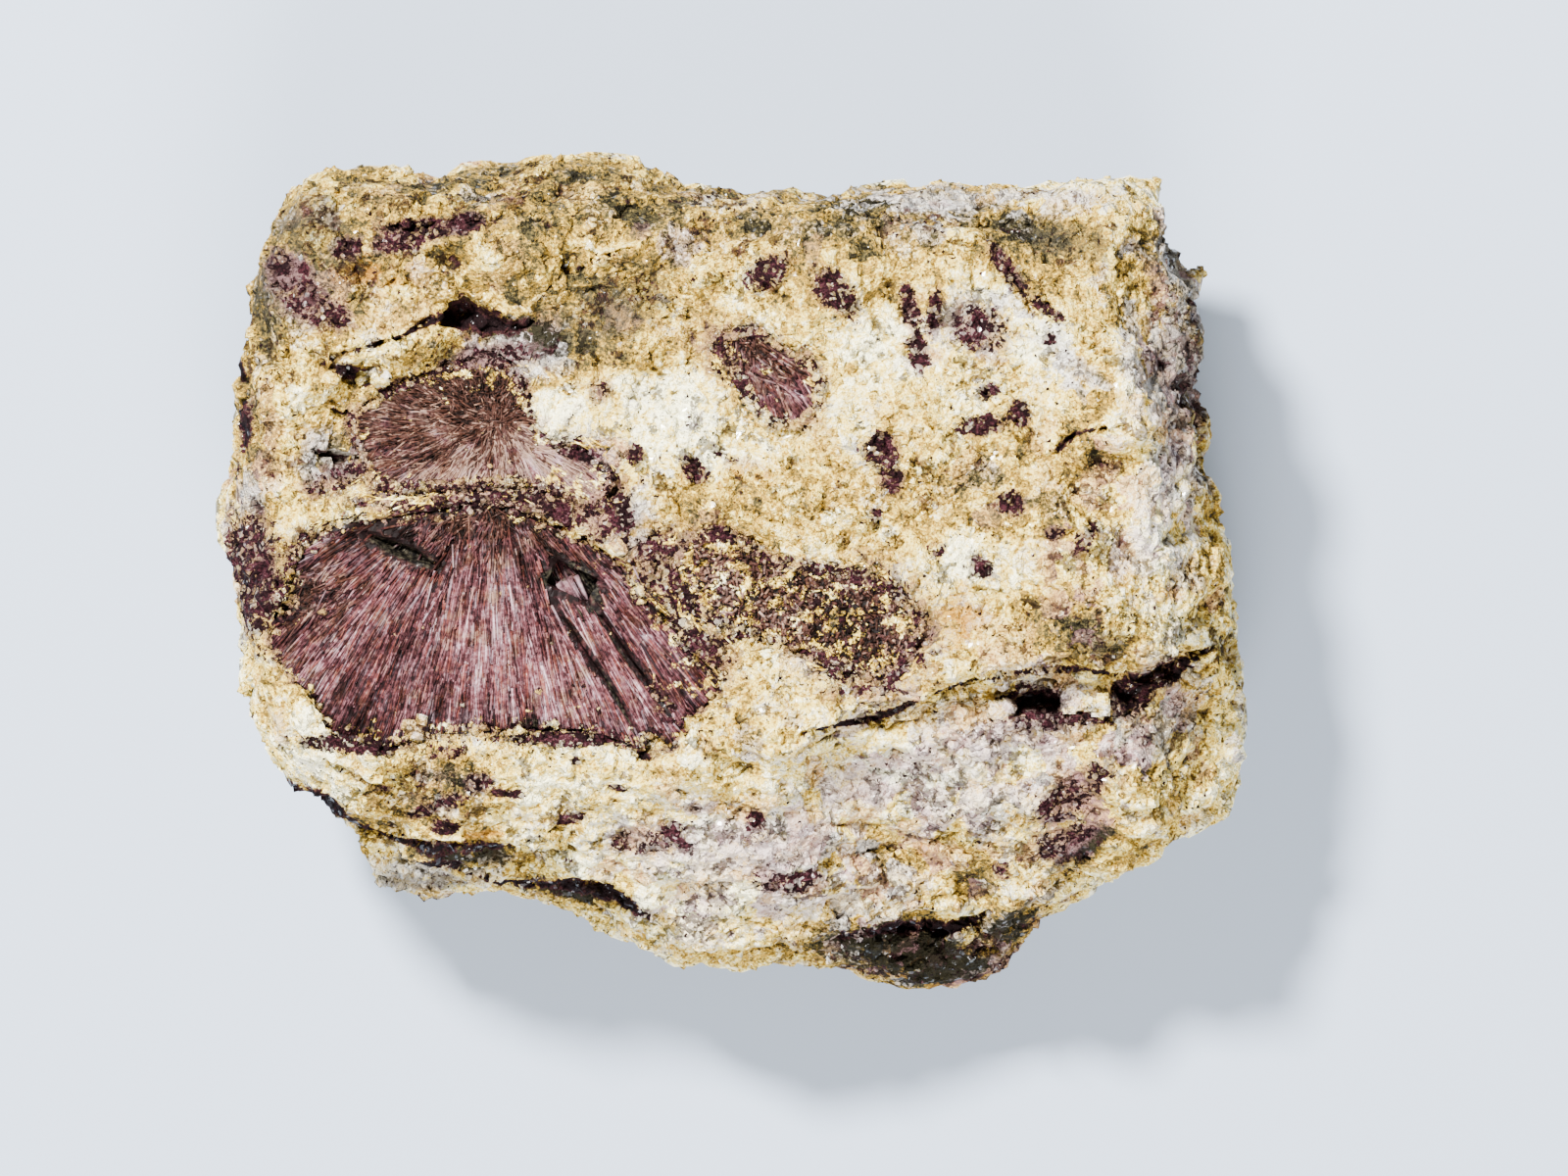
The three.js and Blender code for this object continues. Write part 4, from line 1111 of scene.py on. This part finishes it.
def rock_material():
    material, tree, shader, place = new_material("rock")
    grain, cavity, white, ochre, grime = attributes(tree, "grain", "cavity", "white", "ochre", "grime")
    quartz, pink, rust, shade, soot = attributes(tree, "quartz", "pink", "rust", "shade", "soot")
    plum_patch, mottled_patch, gap_shade_and_dark_grains = attributes(tree, "plum", "mottled", "black")
    lumps = cloud(place, 7.0, 6, 0.6)
    crumbs = cloud(place, 1.1, 4, 0.7)
    dust = cloud(place, 0.25, 2, 0.6)
    cell_tone = channel(cells(place, 1.2, "Color"), "Red")
    fine_tone = channel(cells(place, 0.4, "Color"), "Green")
    crystal = cells(crooked(place, 1.4, 2.4), 2.4, "Color")
    stain, clear, blush = (channel(crystal, name) for name in ("Red", "Green", "Blue"))

    # Stained feldspar, with painted shade: darker in hollows, on the undercuts and in the grime zones, and
    # lighter on ridges.
    mottle = lumps.swing(2.4) + crumbs.swing(1.0) + dust.swing(2.0)
    mottle = mottle + cell_tone.swing(0.3) + fine_tone.swing(0.5) + grain.swing(0.4)
    lightness = 0.53 + mottle * 0.5 + white * 0.34 - ochre * 0.24 - grime * 0.42 - soot * 0.75
    made = rock_colour(lightness - cavity * 0.4 + stain.swing(0.3))

    # Grey quartz, pink feldspar, rust, and the painted olive shade on the flanks, borders, step and
    # undercuts.
    quartz_share = (quartz + mottle * 0.4 + clear.swing(0.9)).step(0.3, 0.8)
    grey = shades(crumbs + fine_tone * 0.3, (100, 92, 86), ((214, 208, 200), 0.4, 0.8))
    made = grey.over(made, quartz_share * (0.45 + 0.5 * cell_tone))
    pink_share = (pink + mottle * 0.3 + blush.swing(1.2)).step(0.35, 1.0)
    made = colour(tree, 176, 126, 132).over(made, pink_share * 0.42)
    rust_share = (rust + crumbs.swing(1.8) + stain.swing(0.8)).step(0.45, 0.95)
    made = colour(tree, 152, 98, 22).over(made, rust_share * 0.6)
    painted_shade_share = (shade + crumbs.swing(2.6) + lumps.swing(1.6)).step(0.45, 1.0)
    made = colour(tree, 60, 54, 40).over(made, painted_shade_share * 0.65)

    # Painted shade on the undercut foot and the underside, and painted shade in the hollows.
    soot_share = (soot + crumbs.swing(2.4) + cell_tone.swing(0.5)).step(0.35, 0.75)
    bare = (stain * fine_tone).step(0.45, 0.6)
    made = colour(tree, 34, 31, 20).over(made, soot_share * (0.95 - 0.7 * bare))
    hollow_shade_share = (cavity * 1.8 + crumbs.swing(1.4)).step(0.3, 0.9)
    made = colour(tree, 40, 28, 14).over(made, hollow_shade_share * 0.9)

    # Dumortierite: whole patches, mottled ones, freckles and fine pepper, with a lilac haze around them.
    edge = crumbs.swing(2.4) + fine_tone.swing(0.5) + cell_tone.swing(0.3)
    mottled = mottled_patch.smaller(0.3) * 1.5 + edge + lumps.swing(0.8)
    freckles = (cloud(place, 2.1, 4, 0.7) + lumps.swing(0.5) + pink * 0.07).step(0.585, 0.62)
    pepper = (cloud(place, 0.55, 2, 0.6) + lumps.swing(0.4)).step(0.66, 0.7)
    plum = (plum_patch + edge).step(-0.13, 0.03).larger(mottled.step(0.2, 0.32))
    plum = plum.larger((freckles * 0.8).larger(pepper))
    plum_tone = (0.5 - crumbs) * 1.4 + cell_tone.swing(0.5) + dust.swing(2.0) - 0.36
    plum_colour = shades(plum_tone, (20, 7, 9), ((52, 23, 28), -0.45, 0.0), ((106, 76, 80), 0.0, 0.45))
    haze = (plum_patch.larger(mottled_patch) + crumbs.swing(1.6) + dust.swing(1.0)).step(-0.35, 0.35)
    made = colour(tree, 120, 88, 88).over(made, haze * 0.6)
    bright = (fine_tone * (crumbs + 0.2)).step(0.5, 0.62)
    made = plum_colour.over(made, plum * (1 - bright * 0.5))

    # Painted shadow in the gaps, the pits and under the ledges, with a few dark grains.
    black = gap_shade_and_dark_grains + crumbs.swing(2.6) + lumps.swing(1.2) + dust.swing(0.6)
    gap_shade_and_grain_colour = shades(black, (58, 30, 32), ((20, 10, 11), 0.15, 0.6))
    made = gap_shade_and_grain_colour.over(made, black.step(0.08, 0.3))

    height = crumbs * 1.3 + dust * 0.4 - cells(place, 1.0, "Distance") * 0.7
    bump = add_node(tree, "ShaderNodeBump", {}, {"Height": height, "Strength": 1.0, "Distance": 0.8 * MM})
    feed(
        tree,
        shader,
        Base_Color=made,
        Roughness=0.75,
        Specular_IOR_Level=0.05,
        Coat_Weight=fine_tone.step(0.86, 0.9) * 0.8,
        Coat_Roughness=0.2,
        Normal=Wire(bump.outputs["Normal"]),
    )
    return material


rock_look = rock_material()
for piece in (rock, grains):
    piece.data.materials.append(rock_look)
print("rock recipe", len(rock_look.node_tree.nodes), "nodes")

# %% [markdown]
# The needles run from black brown through mauve to a pale lilac sheen, by the tone of each one, which also
# carries the painted shade of the grooves. Some are rusty and some grey, the matted parts are earth brown,
# and specks of rock cover them where the two mix. Painted shadow darkens the grooves and the notch.


# %% Needles
def needle_material():
    material, tree, shader, place = new_material("needles")
    tone, hue, brown, flecks, gap_shade_and_dark_grains = attributes(tree, "tone", "hue", "brown", "flecks", "black")
    lumps = cloud(place, 2.4, 3)
    crumbs = cloud(place, 0.4, 3, 0.6)
    rust = cloud(place, 1.6, 3, 0.65)
    spread = cloud(place, 1.5, 4, 0.7)
    shade = tone + lumps.swing(0.9) + crumbs.swing(1.3)
    made = shades(
        shade,
        (14, 7, 7),
        ((42, 21, 23), -0.05, 0.2),
        ((76, 43, 46), 0.18, 0.46),
        ((112, 76, 80), 0.42, 0.7),
        ((166, 138, 144), 0.7, 1.0),
    )
    rusty = shades(shade, (44, 16, 10), ((112, 48, 34), 0.1, 0.7))
    made = rusty.over(made, (0.3 - hue + rust.swing(1.2)).step(0.0, 0.3) * 0.6)
    greyed = shades(shade, (40, 32, 36), ((128, 118, 124), 0.1, 0.8))
    made = greyed.over(made, (hue - 0.72 + lumps.swing(1.0)).step(0.0, 0.3) * 0.55)
    earth = shades(shade, (14, 9, 6), ((48, 30, 20), 0.0, 0.35), ((116, 92, 72), 0.4, 0.9))
    made = earth.over(made, (brown + rust.swing(2.4)).step(0.1, 0.9) * 0.8)
    rocky = (flecks * 0.6 + spread.swing(2.0) + crumbs.swing(0.6)).step(0.44, 0.56)
    made = rock_colour(0.4 + lumps.swing(1.6) + crumbs.swing(1.8)).over(made, rocky * 0.85)
    # Painted shadow in the grooves and the notch.
    gap_shade_and_grain_colour = shades(crumbs, (8, 6, 5), ((48, 44, 34), 0.42, 0.68))
    made = gap_shade_and_grain_colour.over(made, (gap_shade_and_dark_grains + crumbs.swing(0.5)).step(0.05, 0.4))
    feed(
        tree,
        shader,
        Base_Color=made,
        Roughness=0.4 + 0.25 * lumps,
        Specular_IOR_Level=0.05,
        Coat_Weight=crumbs.step(0.6, 0.7) * 0.5,
        Coat_Roughness=0.25,
    )
    return material


needle_look = needle_material()
for piece in sprays.values():
    piece.data.materials.append(needle_look)
print("needle recipe", len(needle_look.node_tree.nodes), "nodes")

# %% [markdown]
# The stone is one body. The rock and its grains stand for the CAD block, and each spray for its own lens.

# %% Riding and standing in
for piece in (rock, grains):
    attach(piece, "root")
    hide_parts("matrix")
for node, piece in sprays.items():
    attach(piece, "root")
    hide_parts(node)
print("pieces", [piece.name for piece in (rock, grains, *sprays.values())])

# %% [markdown]
# ## Floor, light and camera
#
# The stone lies face up on a plain pale floor. A small key light shines from the top left of the picture, so
# that every grain throws a short crisp shadow, and a wide weaker one fills from below the stone. The camera
# looks straight down through a long lens, as in the photograph.

# %% Stage
floor_shape = bmesh.new()
bmesh.ops.create_grid(floor_shape, x_segments=1, y_segments=1, size=3)
floor = new_piece("floor", floor_shape)
floor_look, floor_tree, floor_shader, _ = new_material("floor")
feed(floor_tree, floor_shader, Base_Color=(0.3, 0.35, 0.43, 1), Roughness=0.9)
floor.data.materials.append(floor_look)


def add_light(name, place, size, power):
    """A round soft light that shines at the stone."""
    lamp = bpy.data.lights.new(name, "AREA")
    lamp.shape = "DISK"
    lamp.size = size
    lamp.energy = power
    lamp_object = bpy.data.objects.new(name, lamp)
    lamp_object.location = place
    lamp_object.rotation_mode = "QUATERNION"
    lamp_object.rotation_quaternion = (-Vector(place)).to_track_quat("-Z", "Y")
    bpy.context.collection.objects.link(lamp_object)


add_light("key", place=(-0.34, 0.46, 0.85), size=0.14, power=66)
add_light("fill", place=(0.05, -0.65, 0.8), size=0.5, power=28)

world = bpy.data.worlds.new("studio")
world.use_nodes = True
world.node_tree.nodes["Background"].inputs["Color"].default_value = (0.96, 0.97, 1.0, 1)
world.node_tree.nodes["Background"].inputs["Strength"].default_value = 0.56
bpy.context.scene.world = world

PICTURE_WIDTH = 133.3 * MM  # what the picture spans at the height of the outline
PICTURE_MIDDLE = (4.0 * MM, -1.4 * MM)
OUTLINE_HEIGHT = 26 * MM
CAMERA_HEIGHT = 0.9
optics = bpy.data.cameras.new("lens")
optics.lens = optics.sensor_width * (CAMERA_HEIGHT - OUTLINE_HEIGHT) / PICTURE_WIDTH
camera = bpy.data.objects.new("camera", optics)
camera.location = (*PICTURE_MIDDLE, CAMERA_HEIGHT)
bpy.context.collection.objects.link(camera)
bpy.context.scene.camera = camera
print("lens", round(optics.lens), "mm")
